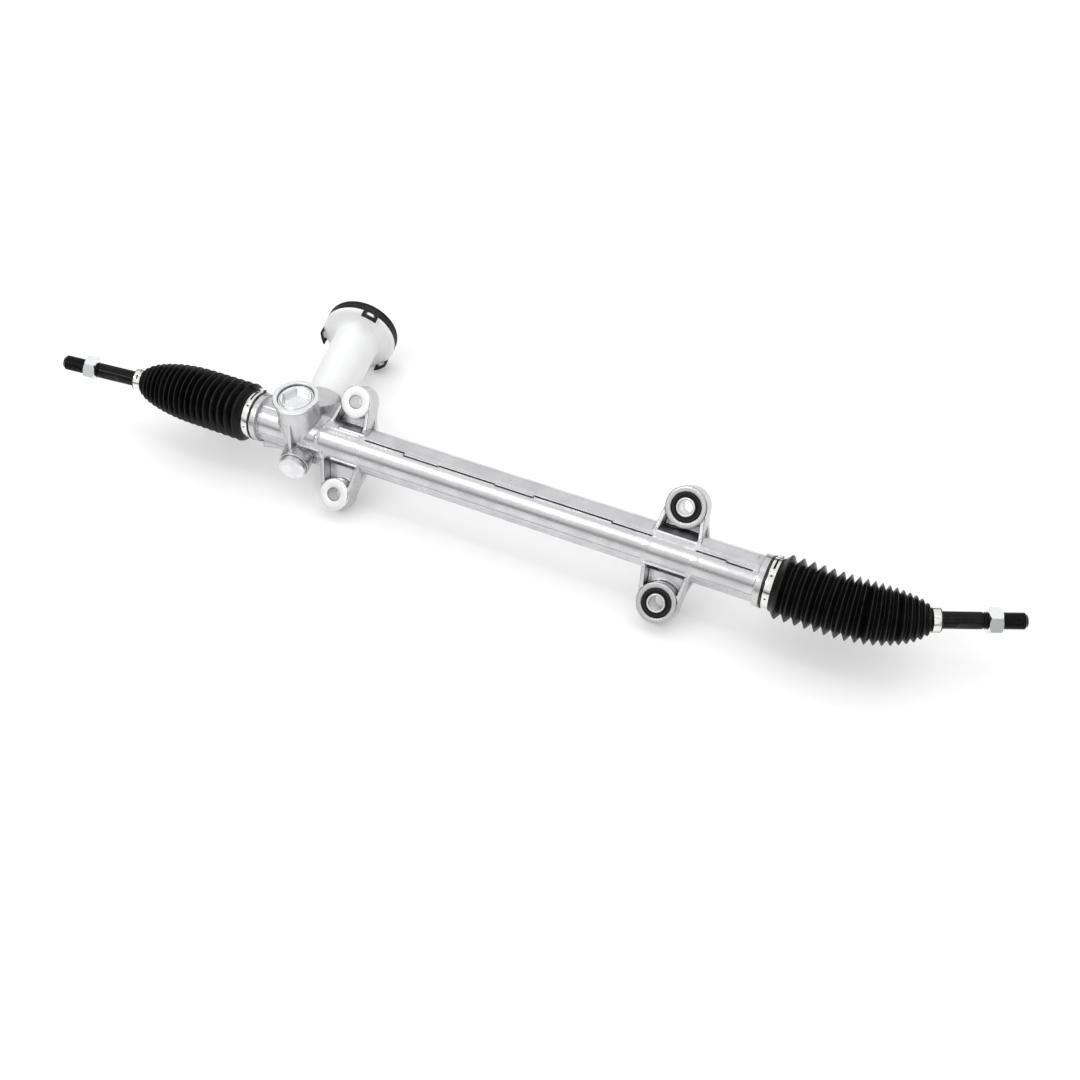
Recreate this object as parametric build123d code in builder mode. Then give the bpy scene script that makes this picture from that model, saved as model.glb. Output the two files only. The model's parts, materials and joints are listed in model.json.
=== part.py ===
from build123d import *
import os
from math import acos, cos, degrees, pi, radians, sin, sqrt, tan

os.makedirs("parts", exist_ok=True)

# ---------------------------------------------------------------------------
# Manual rack-and-pinion steering gear, in millimetres.
# X runs along the rack, Z is the yoke axis and points up, Y points to the side
# that the steering shaft comes from. The origin is on the rack axis, midway
# between the two pairs of mounting lugs. The gear lies as it does on a bench,
# so the mounting bolts lean towards the front.
# ---------------------------------------------------------------------------

# Clearances
running_gap = 0.05  # radial, shaft in bearing, yoke in bore
seat_gap = 0.02  # radial, pieces that are pressed or screwed together
face_gap = 0.3  # between pieces that only lie near each other
over_cut = 1.0  # how far a cut runs past the face that it starts from

# Housing tube
left_end = -291.0
right_end = 274.9
tube_radius = 21.0
tube_bore_radius = 15.5
flank_half_height = 23.0
flank_land = 8.0
flank_step = 0.8
flank_angle = 47.0
parting_land = 7.0  # half height of the raised strip beside the stepped parting edge
parting_jogs = (  # along the tube: start, end and angle of the stepped parting edge
    (-158.0, -112.0, 51.0),
    (-112.0, -72.0, 59.0),
    (-72.0, -8.0, 56.0),
    (-8.0, 34.0, 59.0),
    (34.0, 118.0, 53.0),
    (118.0, 160.0, 57.0),
    (205.0, 236.0, 59.0),
    (236.0, 262.0, 63.0),
)
rail_heights = (16.5, 19.5)  # two fine rails along the lower front edge
rail_radius = 0.9
rail_start = -158.0
rail_end = 160.0
collar_radius = 26.0
collar_length = 7.0
spigot_radius = 22.5
spigot_length = 12.0

# Mounting lugs, on bolt axes that lean from the vertical
bolt_lean = 48.6
bolt_radius = 7.0
left_lug_x = -182.5
left_lug_up = 46.6
left_lug_down = -53.1
left_lug_radius = 16.5
left_lug_front = 10.0
left_lug_depth = 23.0
right_lug_up_x = 182.5
right_lug_up = 46.0
right_lug_down_x = 180.4
right_lug_down = -51.8
right_lug_radius = 20.4
right_lug_front = 12.0
right_lug_depth = 23.0
bush_radius = 15.0
sleeve_radius = 9.5
sleeve_length = 26.0
bush_inset = 1.2  # how far the rubber lies inside the lug's faces
rib_thickness = 4.5
rib_crown = 1.8  # how far a rib stands over the tube's front
rib_step = 1.5  # how far a rib lies behind the lug's face
rib_shoulder = 6.0
rib_shoulder_angle = 53.0
rib_foot = 3.0
web_thickness = 7.0
web_overlap = 2.0
left_upper_feet = (-211.0, -162.5)
left_lower_feet = (-211.0, -161.0)
right_upper_feet = (157.0, 207.5)
right_lower_feet = (155.0, 205.0)
tower_web_depth = 15.0

# Pinion and rack teeth
pinion_x = -239.3
pinion_drop = 17.2
pinion_skew = 10.5
tooth_count = 8
tooth_module = 2.0
pressure_angle = 20.0
profile_shift = 0.5
pinion_addendum = 2.6
rack_addendum = 0.9
tooth_clearance = 0.4
backlash = 0.12
pinion_tooth_length = 28.0
rack_radius = 13.0
rack_tooth_count = 27
rack_end_chamfer = 0.6
stud_hole_spare = 4.0

# Pinion shaft, bearings and bottom end, measured along the pinion axis
shaft_radius = 8.5
shaft_end = 170.0
spline_length = 24.0
spline_count = 24
spline_depth = 0.7
spline_root = 0.2  # how far a spline tooth sinks into the core
shaft_collar = 1.5  # the step that the bearing sits against
shaft_collar_length = 3.0
journal_chamfer = 0.8
journal_radius = 5.0
needle_radius = 8.0
needle_start = -30.0
needle_length = 13.0
bearing_start = 24.0
bearing_width = 13.0
bearing_radius = 20.0
bearing_ball_radius = 3.5
bearing_ball_count = 9
race_wall = 2.4
race_relief = 1.0
shoulder_depth = 4.0
race_groove_share = 0.7
cage_wall = 1.4
cage_back = 1.4
cage_pocket_length = 4.0
seal_width = 7.0
seal_radius = 20.0
seal_rim = 3.0
bearing_nut_width = 6.0
bearing_nut_lip = 1.0
spanner_slot_count = 4
spanner_slot_length = 5.0
spanner_slot_width = 4.0
spanner_slot_depth = 3.0
pinion_tube_radius = 26.5
pinion_foot_radius = 16.5
pinion_foot_end = 36.0
pinion_room_gap = 0.8
bottom_cap_radius = 14.4
bottom_cap_height = 6.3
bottom_cap_plug_radius = 11.5
bottom_cap_plug_length = 4.5
bottom_cap_chamfer = 1.0

# Yoke and its plug
tower_radius = 22.6
tower_rim_radius = 24.2
tower_rim_height = 5.0
tower_top = 48.8
fin_shift = 2.0
fin_thickness = 3.6
fin_top = 34.0
fin_bottom = -14.0
fin_reach = 7.5
fin_root = 2.0
wing_thickness = 7.0
wing_points = ((-285.0, -16.0), (-281.0, -31.0), (-262.0, -27.0), (-253.0, -31.0), (-250.0, -16.0))
foot_tab_points = ((-230.0, -16.0), (-224.0, -29.0), (-220.5, -31.0), (-216.0, -31.0), (-211.0, -16.0))
yoke_radius = 16.5
yoke_bottom = 3.0
yoke_top = 30.0
yoke_float = 0.1
liner_thickness = 0.8
spring_radius = 8.0
spring_bore_radius = 4.0
spring_thickness = 0.9
spring_cone = 1.4
spring_count = 4
spring_seat = 20.0
yoke_ring_rise = 5.0  # from the spring's seat to the groove of the O-ring
liner_inset = 0.5
plug_radius = 19.0
plug_height = 17.5
plug_hexagon = 26.0
plug_hexagon_depth = 6.0
plug_step = 1.2
plug_chamfer = 0.6
plug_step_radius = 16.8
ring_section_radius = 1.3

# Dust cover over the steering-shaft joint
cover_neck_radius = 24.0
cover_flare_radius = 26.0
cover_wall = 2.0
cover_start = 58.0
cover_seat_length = 8.0
cover_end = 173.0
cover_flare_start = 161.0
cover_rim = 3.0
cover_inner_rise = 2.6  # how much later the flare starts on the inside
cover_seat_spare = 2.0
cover_flange_radius = 41.9
cover_seal_depth = 12.0
cover_seal_wall = 5.0
cover_seal_lip = 2.0
cover_tab_angles = (357.0, 117.0, 237.0)
cover_tab_width = 15.0
cover_tab_reach = 1.8
cover_tab_length = 11.0

# Tie rods: ball centres on the rack axis and the directions of the rods at rest
left_ball_x = -396.0
right_ball_x = 386.0
left_yaw = 12.5
left_pitch = 8.5
right_yaw = 23.0
right_pitch = -0.5
ball_radius = 11.0
seat_wall = 1.5
socket_radius = 15.0
socket_back = 14.0
socket_front = 7.5
socket_lip = 2.0
socket_mouth_angle = 63.0
socket_mouth_slope = 0.7
socket_flats = 27.0
seat_mouth_angle = 60.0
seat_hole_radius = 4.0
washer_thickness = 2.0
washer_inset = 1.0
stud_radius = 7.0
stud_length = 16.0
rod_length = 132.0
rod_neck_radius = 5.5
rod_taper_start = 16.0
rod_taper_length = 8.0
rod_cuff_radius = 8.2
rod_flats_length = 29.0
rod_flats_to_thread = 6.0
rod_flats = 14.0
thread_radius = 8.0
thread_length = 40.0
thread_relief = 0.25
thread_tip_chamfer = 1.8
left_nut_to_end = 25.2
right_nut_to_end = 23.5
nut_flats = 24.0
nut_height = 13.0
nut_chamfer_angle = 30.0
nut_seat_step = 0.4

# Bellows
bellows_radius = 32.0
bellows_fold_count = 18
bellows_fold_depth = 7.0
bellows_wall = 1.3
bellows_slope = 1.6  # how much the folds lose in radius before the dome
bellows_dome_start = 0.5  # share of the length where the dome over the rod begins
bellows_crowding = 0.15  # how much closer the folds lie at the small end
core_steps = (0.2, 0.4, 0.52, 0.62, 0.72, 0.8, 0.87, 0.93)  # where the bellows' inner skin is shaped
bellows_end_depth = 0.4  # share of the fold depth that is left at the small end
bellows_cuff_length = 12.0
bellows_cuff_wall = 2.2
small_cuff_radius = 10.8
small_cuff_length = 9.0
left_cuff_to_ball = 51.0
right_cuff_to_ball = 53.5
bend_length = 10.0
big_clamp_width = 7.0
big_clamp_wall = 1.0
big_clamp_ear = 4.0
big_clamp_ear_width = 9.0
small_clamp_width = 7.0
small_clamp_wire = 1.0

# Rack bush
rack_bush_length = 24.0
rack_bush_x = 235.0

# ---------------------------------------------------------------------------
# Planes and axes
# ---------------------------------------------------------------------------
across = Vector(0, cos(radians(bolt_lean)), sin(radians(bolt_lean)))
bolt_direction = Vector(0, -sin(radians(bolt_lean)), cos(radians(bolt_lean)))
bolt_plane = Plane(origin=(0, 0, 0), x_dir=(1, 0, 0), z_dir=bolt_direction)
input_direction = Vector(-sin(radians(pinion_skew)), cos(radians(pinion_skew)), 0)
pinion_centre = Vector(pinion_x, 0, -pinion_drop)
pinion_plane = Plane(
    origin=pinion_centre,
    x_dir=(-cos(radians(pinion_skew)), -sin(radians(pinion_skew)), 0),
    z_dir=input_direction,
)
pinion_axis = Axis(pinion_centre, input_direction)
yoke_plane = Plane(origin=(pinion_x, 0, 0), x_dir=(1, 0, 0), z_dir=(0, 0, 1))
yoke_section = Plane(origin=(pinion_x, 0, 0), x_dir=(1, 0, 0), z_dir=(0, -1, 0))
yoke_axis = Axis((pinion_x, 0, 0), (0, 0, 1))
plug_bottom = yoke_top + yoke_float
seal_start = bearing_start + bearing_width + bearing_nut_width + face_gap
cover_seat_radius = cover_neck_radius - cover_wall - seat_gap


def tube_section(x):
    """Plane across the rack at x, with its own x towards the upper lugs and y along the bolts."""
    return Plane(origin=(x, 0, 0), x_dir=across, z_dir=(1, 0, 0))


def rack_section(x):
    """Plane across the rack at x, with its own x along Y and its y along Z."""
    return Plane(origin=(x, 0, 0), x_dir=(0, 1, 0), z_dir=(1, 0, 0))


def rod_direction(side, yaw, pitch):
    """Direction of a tie rod; side is -1 for the left one and 1 for the right one."""
    level = cos(radians(pitch))
    return Vector(side * level * cos(radians(yaw)), side * level * sin(radians(yaw)), sin(radians(pitch)))


left_direction = rod_direction(-1, left_yaw, left_pitch)
right_direction = rod_direction(1, right_yaw, right_pitch)


def rod_plane(ball_x, direction, distance=0.0):
    """Plane across a tie rod, at a distance from its ball centre."""
    level = Vector(-direction.Y, direction.X, 0).normalized()
    return Plane(origin=Vector(ball_x, 0, 0) + direction * distance, x_dir=level, z_dir=direction)


# ---------------------------------------------------------------------------
# Rack housing
# ---------------------------------------------------------------------------
def polar(radius, angle):
    return (radius * cos(radians(angle)), radius * sin(radians(angle)))


def tube_outline(plane):
    """Round tube with a raised flat flank on the side of each row of lugs."""
    step_x, step_y = polar(tube_radius + flank_step, flank_angle)
    edge = flank_half_height
    land = flank_land / 2
    with BuildSketch(plane) as outline:
        Circle(tube_radius)
        with BuildLine():
            Polyline(
                (edge, land), (step_x, step_y), (-step_x, step_y), (-edge, land),
                (-edge, -land), (-step_x, -step_y), (step_x, -step_y), (edge, -land),
                close=True,
            )
        make_face()
    return outline.sketch


def parting_strip(plane, angle):
    """Raised strip on the upper front flank, from the parting edge to the edge of the flank."""
    step = polar(tube_radius + flank_step, angle)
    foot = polar(tube_radius - flank_step, angle)
    with BuildSketch(plane) as strip:
        with BuildLine():
            Polyline(
                foot, step, (flank_half_height, parting_land), (flank_half_height, 0),
                (tube_radius - rib_foot, 0),
                close=True,
            )
        make_face()
    return strip.sketch


def lug_web(plane, lug, lug_radius, foot):
    """Web from a lug to the tube; lug is (x, y) and foot the two x where it meets the tube."""
    side = 1 if lug[1] > 0 else -1
    with BuildSketch(plane) as web:
        with Locations(lug):
            Circle(lug_radius - web_overlap)
        with BuildLine():
            Polyline(
                (lug[0] - lug_radius + rib_foot, lug[1]), (lug[0] + lug_radius - rib_foot, lug[1]),
                (foot[1] + rib_foot, side * (tube_radius - web_overlap)),
                (foot[0] - rib_foot, side * (tube_radius - web_overlap)),
                close=True,
            )
        make_face()
    return web.sketch


def lug_rib(base, start, end, front, depth):
    """Rib that stands on the tube at start and runs out to end on a lug, both (x, y) on the bolt plane."""
    run = Vector(end[0] - start[0], end[1] - start[1], 0)
    reach = run.length
    direction = base.x_dir * (run.X / reach) + base.y_dir * (run.Y / reach)
    origin = base.from_local_coords(Vector(start[0], start[1], 0))
    plane = Plane(origin=origin, x_dir=direction, z_dir=direction.cross(base.z_dir))
    over_tube = polar(tube_radius + rib_crown / 3, rib_shoulder_angle)
    with BuildSketch(plane) as rib:
        with BuildLine():
            Polyline(
                (0, front - depth), (reach, front - depth), (reach, front - rib_step),
                (reach - rib_shoulder, front - rib_step), (tube_radius + 1, front - rib_step / 2),
                over_tube, (0, tube_radius + rib_crown),
                close=True,
            )
        make_face()
    return rib.sketch


def rail_rise(height):
    """How far the lower flank stands out at a height below the rack axis."""
    step_x, step_y = polar(tube_radius + flank_step, flank_angle)
    slope = (step_y - flank_land / 2) / (flank_half_height - step_x)
    return step_y - (height - step_x) * slope


lugs = (
    ((left_lug_x, left_lug_up), left_lug_radius, left_lug_front, left_lug_depth),
    ((left_lug_x, left_lug_down), left_lug_radius, left_lug_front, left_lug_depth),
    ((right_lug_up_x, right_lug_up), right_lug_radius, right_lug_front, right_lug_depth),
    ((right_lug_down_x, right_lug_down), right_lug_radius, right_lug_front, right_lug_depth),
)
lug_feet = (left_upper_feet, left_lower_feet, right_upper_feet, right_lower_feet)

with BuildPart() as rack_housing:
    # tube, collars and the spigots that carry the bellows
    tube_length = right_end - left_end - 2 * collar_length
    extrude(tube_outline(tube_section(left_end + collar_length)), amount=tube_length)
    for end, outward in ((left_end, -1), (right_end, 1)):
        with BuildSketch(tube_section(end)):
            Circle(collar_radius)
        extrude(amount=-outward * collar_length)
        with BuildSketch(tube_section(end)):
            Circle(spigot_radius)
        extrude(amount=outward * spigot_length)

    # stepped parting edge and fine rails
    for start, end, angle in parting_jogs:
        extrude(parting_strip(tube_section(start), angle), amount=end - start)
    with BuildSketch(tube_section(rail_start)):
        for height in rail_heights:
            with Locations((-height, rail_rise(height))):
                Circle(rail_radius)
    extrude(amount=rail_end - rail_start)

    # lugs with their webs and ribs
    for (lug, lug_radius, front, depth), foot in zip(lugs, lug_feet):
        with BuildSketch(bolt_plane.offset(front - depth)):
            with Locations(lug):
                Circle(lug_radius)
        extrude(amount=depth)
        web_base = bolt_plane.offset(front - depth)
        extrude(lug_web(web_base, lug, lug_radius, foot), amount=web_thickness)
        for side, foot_x in ((-1, foot[0]), (1, foot[1])):
            rib_start = (foot_x, 0)
            rib_end = (lug[0] + side * (lug_radius - rib_thickness / 2 - 0.5), lug[1])
            rib = lug_rib(bolt_plane, rib_start, rib_end, front, depth)
            extrude(rib, amount=rib_thickness / 2, both=True)

    # web that ties the upper left lug to the yoke tower
    with BuildSketch(bolt_plane.offset(left_lug_front - left_lug_depth)):
        with BuildLine():
            Polyline(
                (pinion_x, 0), (pinion_x, tower_radius),
                (left_lug_x - left_lug_radius + rib_foot, left_lug_up - rib_foot), (left_upper_feet[0], 0),
                close=True,
            )
        make_face()
    extrude(amount=tower_web_depth)

    # yoke tower
    with BuildSketch(yoke_plane):
        Circle(tower_radius)
    extrude(amount=tower_top)
    with BuildSketch(yoke_plane.offset(tower_top - tower_rim_height)):
        Circle(tower_rim_radius)
    extrude(amount=tower_rim_height)

    # fin down the tower's front, wing beside the left collar and tab beside the lower left lug
    with BuildSketch(Plane(origin=(pinion_x + fin_shift, 0, 0), x_dir=(0, 1, 0), z_dir=(1, 0, 0))):
        with BuildLine():
            Polyline(
                (fin_root - tower_radius, fin_top), (-tower_radius, fin_top), (-tower_radius - fin_reach, 0),
                (-tower_radius - fin_reach, fin_bottom), (fin_root - tower_radius, fin_bottom),
                close=True,
            )
        make_face()
    extrude(amount=fin_thickness / 2, both=True)
    for points in (wing_points, foot_tab_points):
        with BuildSketch(bolt_plane):
            with BuildLine():
                Polyline(*points, close=True)
            make_face()
        extrude(amount=-wing_thickness)

    # pinion housing, wide towards the steering shaft and narrow at its foot
    with BuildSketch(pinion_plane.offset(-pinion_foot_end)):
        Circle(pinion_foot_radius)
    extrude(amount=pinion_foot_end + bearing_start)
    with BuildSketch(pinion_plane.offset(bearing_start - shoulder_depth)):
        Circle(pinion_tube_radius)
    extrude(amount=cover_start - bearing_start + shoulder_depth)
    with BuildSketch(pinion_plane.offset(cover_start)):
        Circle(cover_seat_radius)
    extrude(amount=cover_seat_length)

    # bores
    with BuildSketch(tube_section(left_end - spigot_length)):
        Circle(tube_bore_radius)
    extrude(amount=right_end - left_end + 2 * spigot_length, mode=Mode.SUBTRACT)
    with BuildSketch(yoke_plane):
        Circle(yoke_radius + running_gap)
    extrude(amount=plug_bottom, mode=Mode.SUBTRACT)
    with BuildSketch(yoke_plane.offset(plug_bottom - seat_gap)):
        Circle(plug_radius + seat_gap)
    extrude(amount=tower_top - plug_bottom + seat_gap, mode=Mode.SUBTRACT)
    pinion_room = tooth_module * tooth_count / 2 + pinion_addendum + pinion_room_gap
    with BuildSketch(pinion_plane.offset(needle_start + needle_length + over_cut)):
        Circle(pinion_room)
    extrude(amount=bearing_start - needle_start - needle_length, mode=Mode.SUBTRACT)
    with BuildSketch(pinion_plane.offset(-pinion_foot_end)):
        Circle(needle_radius + seat_gap)
    extrude(amount=pinion_foot_end + bearing_start, mode=Mode.SUBTRACT)
    with BuildSketch(pinion_plane.offset(-pinion_foot_end)):
        Circle(bottom_cap_plug_radius + seat_gap)
    extrude(amount=bottom_cap_plug_length + face_gap, mode=Mode.SUBTRACT)
    with BuildSketch(pinion_plane.offset(bearing_start)):
        Circle(bearing_radius + seat_gap)
    extrude(amount=cover_start + cover_seat_length - bearing_start, mode=Mode.SUBTRACT)
    with BuildSketch(pinion_plane.offset(bearing_start)):
        Circle(bearing_radius - race_wall)
    extrude(amount=-race_relief, mode=Mode.SUBTRACT)
    lug_bores = (bolt_radius, bolt_radius, bush_radius + seat_gap, bush_radius + seat_gap)
    for (lug, lug_radius, front, depth), bore in zip(lugs, lug_bores):
        with BuildSketch(bolt_plane.offset(front + over_cut)):
            with Locations(lug):
                Circle(bore)
        extrude(amount=-depth - 2 * over_cut, mode=Mode.SUBTRACT)

rack_housing.part.label = "rack_housing"
export_step(rack_housing.part, "parts/rack_housing.step")

# Rubber bushes and their steel sleeves in the right lugs
bush_places = (("upper", lugs[2]), ("lower", lugs[3]))
for place, (lug, lug_radius, front, depth) in bush_places:
    with BuildPart() as bush_rubber:
        with BuildSketch(bolt_plane.offset(front - bush_inset)):
            with Locations(lug):
                Circle(bush_radius)
                Circle(sleeve_radius + seat_gap, mode=Mode.SUBTRACT)
        extrude(amount=-depth + 2 * bush_inset)
    bush_rubber.part.label = f"{place}_bush_rubber"
    export_step(bush_rubber.part, f"parts/{place}_bush_rubber.step")
    with BuildPart() as bush_sleeve:
        with BuildSketch(bolt_plane.offset(front - depth / 2 - sleeve_length / 2)):
            with Locations(lug):
                Circle(sleeve_radius)
                Circle(bolt_radius, mode=Mode.SUBTRACT)
        extrude(amount=sleeve_length)
    bush_sleeve.part.label = f"{place}_bush_sleeve"
    export_step(bush_sleeve.part, f"parts/{place}_bush_sleeve.step")

# Plastic bush that carries the free end of the rack
with BuildPart() as rack_bush:
    with BuildSketch(rack_section(rack_bush_x)):
        Circle(tube_bore_radius - seat_gap)
        Circle(rack_radius + running_gap, mode=Mode.SUBTRACT)
    extrude(amount=rack_bush_length)
rack_bush.part.label = "rack_bush"
export_step(rack_bush.part, "parts/rack_bush.step")

# ---------------------------------------------------------------------------
# Rack bar
# ---------------------------------------------------------------------------
pitch_radius = tooth_module * tooth_count / 2
pitch_height = -(pinion_drop - pitch_radius)
rack_tip_height = pitch_height - rack_addendum
rack_root_height = pitch_height + pinion_addendum + tooth_clearance
tooth_pitch = pi * tooth_module
tooth_flank = tan(radians(pressure_angle))
pinion_tooth_width = tooth_module * (pi / 2 + 2 * profile_shift * tooth_flank)
rack_gap_width = pinion_tooth_width + backlash
left_rack_end = left_ball_x + socket_back + washer_thickness
right_rack_end = right_ball_x - socket_back - washer_thickness
tooth_plane = Plane(
    origin=(pinion_x, 0, 0),
    x_dir=(cos(radians(pinion_skew)), sin(radians(pinion_skew)), 0),
    z_dir=-input_direction,
)

with BuildPart() as rack_bar:
    with BuildSketch(rack_section(left_rack_end)):
        Circle(rack_radius)
    extrude(amount=right_rack_end - left_rack_end)
    # flat under the teeth, then one gap after another
    rack_face = rack_tooth_count * tooth_pitch
    with BuildSketch(Plane.XY.offset(rack_tip_height)):
        with Locations((pinion_x, 0)):
            Rectangle(rack_face, 4 * rack_radius)
    extrude(amount=-rack_radius, mode=Mode.SUBTRACT)
    with BuildSketch(tooth_plane) as gaps:
        top_half = rack_gap_width / 2 + rack_addendum * tooth_flank
        root_half = rack_gap_width / 2 - (pinion_addendum + tooth_clearance) * tooth_flank
        gap_mouth = rack_tip_height - over_cut
        for index in range(rack_tooth_count):
            middle = (index - (rack_tooth_count - 1) / 2) * tooth_pitch
            with BuildLine():
                Polyline(
                    (middle - top_half, rack_tip_height), (middle - root_half, rack_root_height),
                    (middle + root_half, rack_root_height), (middle + top_half, rack_tip_height),
                    (middle + top_half, gap_mouth), (middle - top_half, gap_mouth),
                    close=True,
                )
            make_face()
    extrude(amount=2 * rack_radius, both=True, mode=Mode.SUBTRACT)
    # threaded holes for the studs of the ball sockets
    for end, outward in ((left_rack_end, -1), (right_rack_end, 1)):
        with BuildSketch(rack_section(end)):
            Circle(stud_radius + seat_gap)
        extrude(amount=-outward * (stud_length + stud_hole_spare), mode=Mode.SUBTRACT)
        end_edges = rack_bar.edges().filter_by(GeomType.CIRCLE).sort_by(Axis.X)
        chamfer(end_edges[0 if outward < 0 else -1], rack_end_chamfer)
rack_bar.part.label = "rack_bar"
export_step(rack_bar.part, "parts/rack_bar.step")

# ---------------------------------------------------------------------------
# Pinion, its bearings, seal and bottom cap
# ---------------------------------------------------------------------------
pinion_tip_radius = pitch_radius + pinion_addendum
pinion_root_radius = pitch_radius - rack_addendum - tooth_clearance
base_radius = pitch_radius * cos(radians(pressure_angle))


def involute(radius):
    """Involute function at a radius outside the base circle."""
    angle = acos(base_radius / radius)
    return tan(angle) - angle


def flank_angle_at(radius):
    """Half the angle, in degrees, that a pinion tooth fills at a radius."""
    at_pitch = pinion_tooth_width / (2 * pitch_radius)
    return degrees(at_pitch + involute(pitch_radius) - involute(radius))


def pinion_teeth(plane):
    """Outline of the pinion, with one tooth pointing at the rack."""
    middle_radius = (base_radius + pinion_tip_radius) / 2
    foot = flank_angle_at(base_radius)
    waist = flank_angle_at(middle_radius)
    tip = flank_angle_at(pinion_tip_radius)
    pitch = 360 / tooth_count
    with BuildSketch(plane) as teeth:
        with BuildLine():
            for index in range(tooth_count):
                at = 90 + index * pitch
                left_base = polar(base_radius, at - foot)
                left_tip = polar(pinion_tip_radius, at - tip)
                right_tip = polar(pinion_tip_radius, at + tip)
                right_base = polar(base_radius, at + foot)
                Line(polar(pinion_root_radius, at - foot), left_base)
                ThreePointArc(left_base, polar(middle_radius, at - waist), left_tip)
                ThreePointArc(left_tip, polar(pinion_tip_radius, at), right_tip)
                ThreePointArc(right_tip, polar(middle_radius, at + waist), right_base)
                Line(right_base, polar(pinion_root_radius, at + foot))
                ThreePointArc(
                    polar(pinion_root_radius, at + foot),
                    polar(pinion_root_radius, at + pitch / 2),
                    polar(pinion_root_radius, at + pitch - foot),
                )
        make_face()
    return teeth.sketch


with BuildPart() as pinion_shaft:
    with BuildSketch(pinion_plane.offset(needle_start)):
        Circle(journal_radius)
    extrude(amount=-needle_start)
    extrude(pinion_teeth(pinion_plane.offset(-pinion_tooth_length / 2)), amount=pinion_tooth_length)
    with BuildSketch(pinion_plane):
        Circle(pinion_root_radius)
    extrude(amount=bearing_start - shaft_collar_length)
    with BuildSketch(pinion_plane.offset(bearing_start - shaft_collar_length)):
        Circle(shaft_radius + shaft_collar)
    extrude(amount=shaft_collar_length)
    with BuildSketch(pinion_plane.offset(bearing_start)):
        Circle(shaft_radius)
    extrude(amount=shaft_end - spline_length - bearing_start)
    with BuildSketch(pinion_plane.offset(shaft_end - spline_length)):
        Circle(shaft_radius - spline_depth)
        with PolarLocations(shaft_radius - (spline_depth + spline_root) / 2, spline_count):
            Rectangle(spline_depth + spline_root, pi * shaft_radius / spline_count)
    extrude(amount=spline_length)
    journal_edge = pinion_shaft.edges().filter_by(GeomType.CIRCLE).sort_by(pinion_axis)[0]
    chamfer(journal_edge, journal_chamfer)
pinion_shaft.part.label = "pinion_shaft"
export_step(pinion_shaft.part, "parts/pinion_shaft.step")

# Needle bearing at the foot: a drawn cup, closed towards the cap
with BuildPart() as needle_bearing:
    with BuildSketch(pinion_plane.offset(needle_start)):
        Circle(needle_radius)
        Circle(journal_radius + running_gap, mode=Mode.SUBTRACT)
    extrude(amount=needle_length)
needle_bearing.part.label = "needle_bearing"
export_step(needle_bearing.part, "parts/needle_bearing.step")

# Ball bearing: two races with grooves, balls and a cage
groove_depth = race_wall * race_groove_share
inner_race_radius = bearing_radius - race_wall - 2 * (bearing_ball_radius - groove_depth)
ball_circle = (bearing_radius - race_wall + inner_race_radius) / 2
bearing_middle = bearing_start + bearing_width / 2
bearing_plane = Plane(
    origin=pinion_centre, x_dir=pinion_plane.x_dir, z_dir=pinion_plane.x_dir.cross(input_direction)
)


def race(inner_radius, outer_radius):
    """Bearing race with a groove for the balls."""
    with BuildPart() as ring:
        with BuildSketch(bearing_plane):
            with Locations(((inner_radius + outer_radius) / 2, bearing_middle)):
                Rectangle(outer_radius - inner_radius, bearing_width)
            with Locations((ball_circle, bearing_middle)):
                Circle(bearing_ball_radius + running_gap, mode=Mode.SUBTRACT)
        revolve(axis=pinion_axis)
    return ring.part


bearing_outer_race = race(bearing_radius - race_wall, bearing_radius)
bearing_outer_race.label = "bearing_outer_race"
export_step(bearing_outer_race, "parts/bearing_outer_race.step")

bearing_inner_race = race(shaft_radius + seat_gap, inner_race_radius)
bearing_inner_race.label = "bearing_inner_race"
export_step(bearing_inner_race, "parts/bearing_inner_race.step")

with BuildPart() as bearing_balls:
    with Locations(pinion_plane.offset(bearing_middle)):
        with PolarLocations(ball_circle, bearing_ball_count):
            Sphere(bearing_ball_radius)
bearing_balls.part.label = "bearing_balls"
export_step(bearing_balls.part, "parts/bearing_balls.step")

with BuildPart() as bearing_cage:
    cage_start = bearing_middle - bearing_ball_radius - cage_back
    with BuildSketch(pinion_plane.offset(cage_start)):
        Circle(ball_circle + cage_wall / 2)
        Circle(ball_circle - cage_wall / 2, mode=Mode.SUBTRACT)
    extrude(amount=bearing_middle + bearing_ball_radius / 2 - cage_start)
    with Locations(pinion_plane.offset(bearing_middle)):
        with PolarLocations(ball_circle, bearing_ball_count):
            pocket_radius = bearing_ball_radius + running_gap
            Cylinder(pocket_radius, cage_pocket_length, rotation=(0, 90, 0), mode=Mode.SUBTRACT)
bearing_cage.part.label = "bearing_cage"
export_step(bearing_cage.part, "parts/bearing_cage.step")

# Threaded ring that holds the bearing, with slots for a peg spanner
with BuildPart() as bearing_nut:
    with BuildSketch(pinion_plane.offset(bearing_start + bearing_width + seat_gap)):
        Circle(bearing_radius)
        Circle(inner_race_radius + bearing_nut_lip, mode=Mode.SUBTRACT)
    extrude(amount=bearing_nut_width)
    with BuildSketch(pinion_plane.offset(bearing_start + bearing_width + bearing_nut_width + seat_gap)):
        with PolarLocations(inner_race_radius + bearing_nut_lip, spanner_slot_count):
            Rectangle(spanner_slot_length, spanner_slot_width)
    extrude(amount=-spanner_slot_depth, mode=Mode.SUBTRACT)
bearing_nut.part.label = "bearing_nut"
export_step(bearing_nut.part, "parts/bearing_nut.step")

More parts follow.
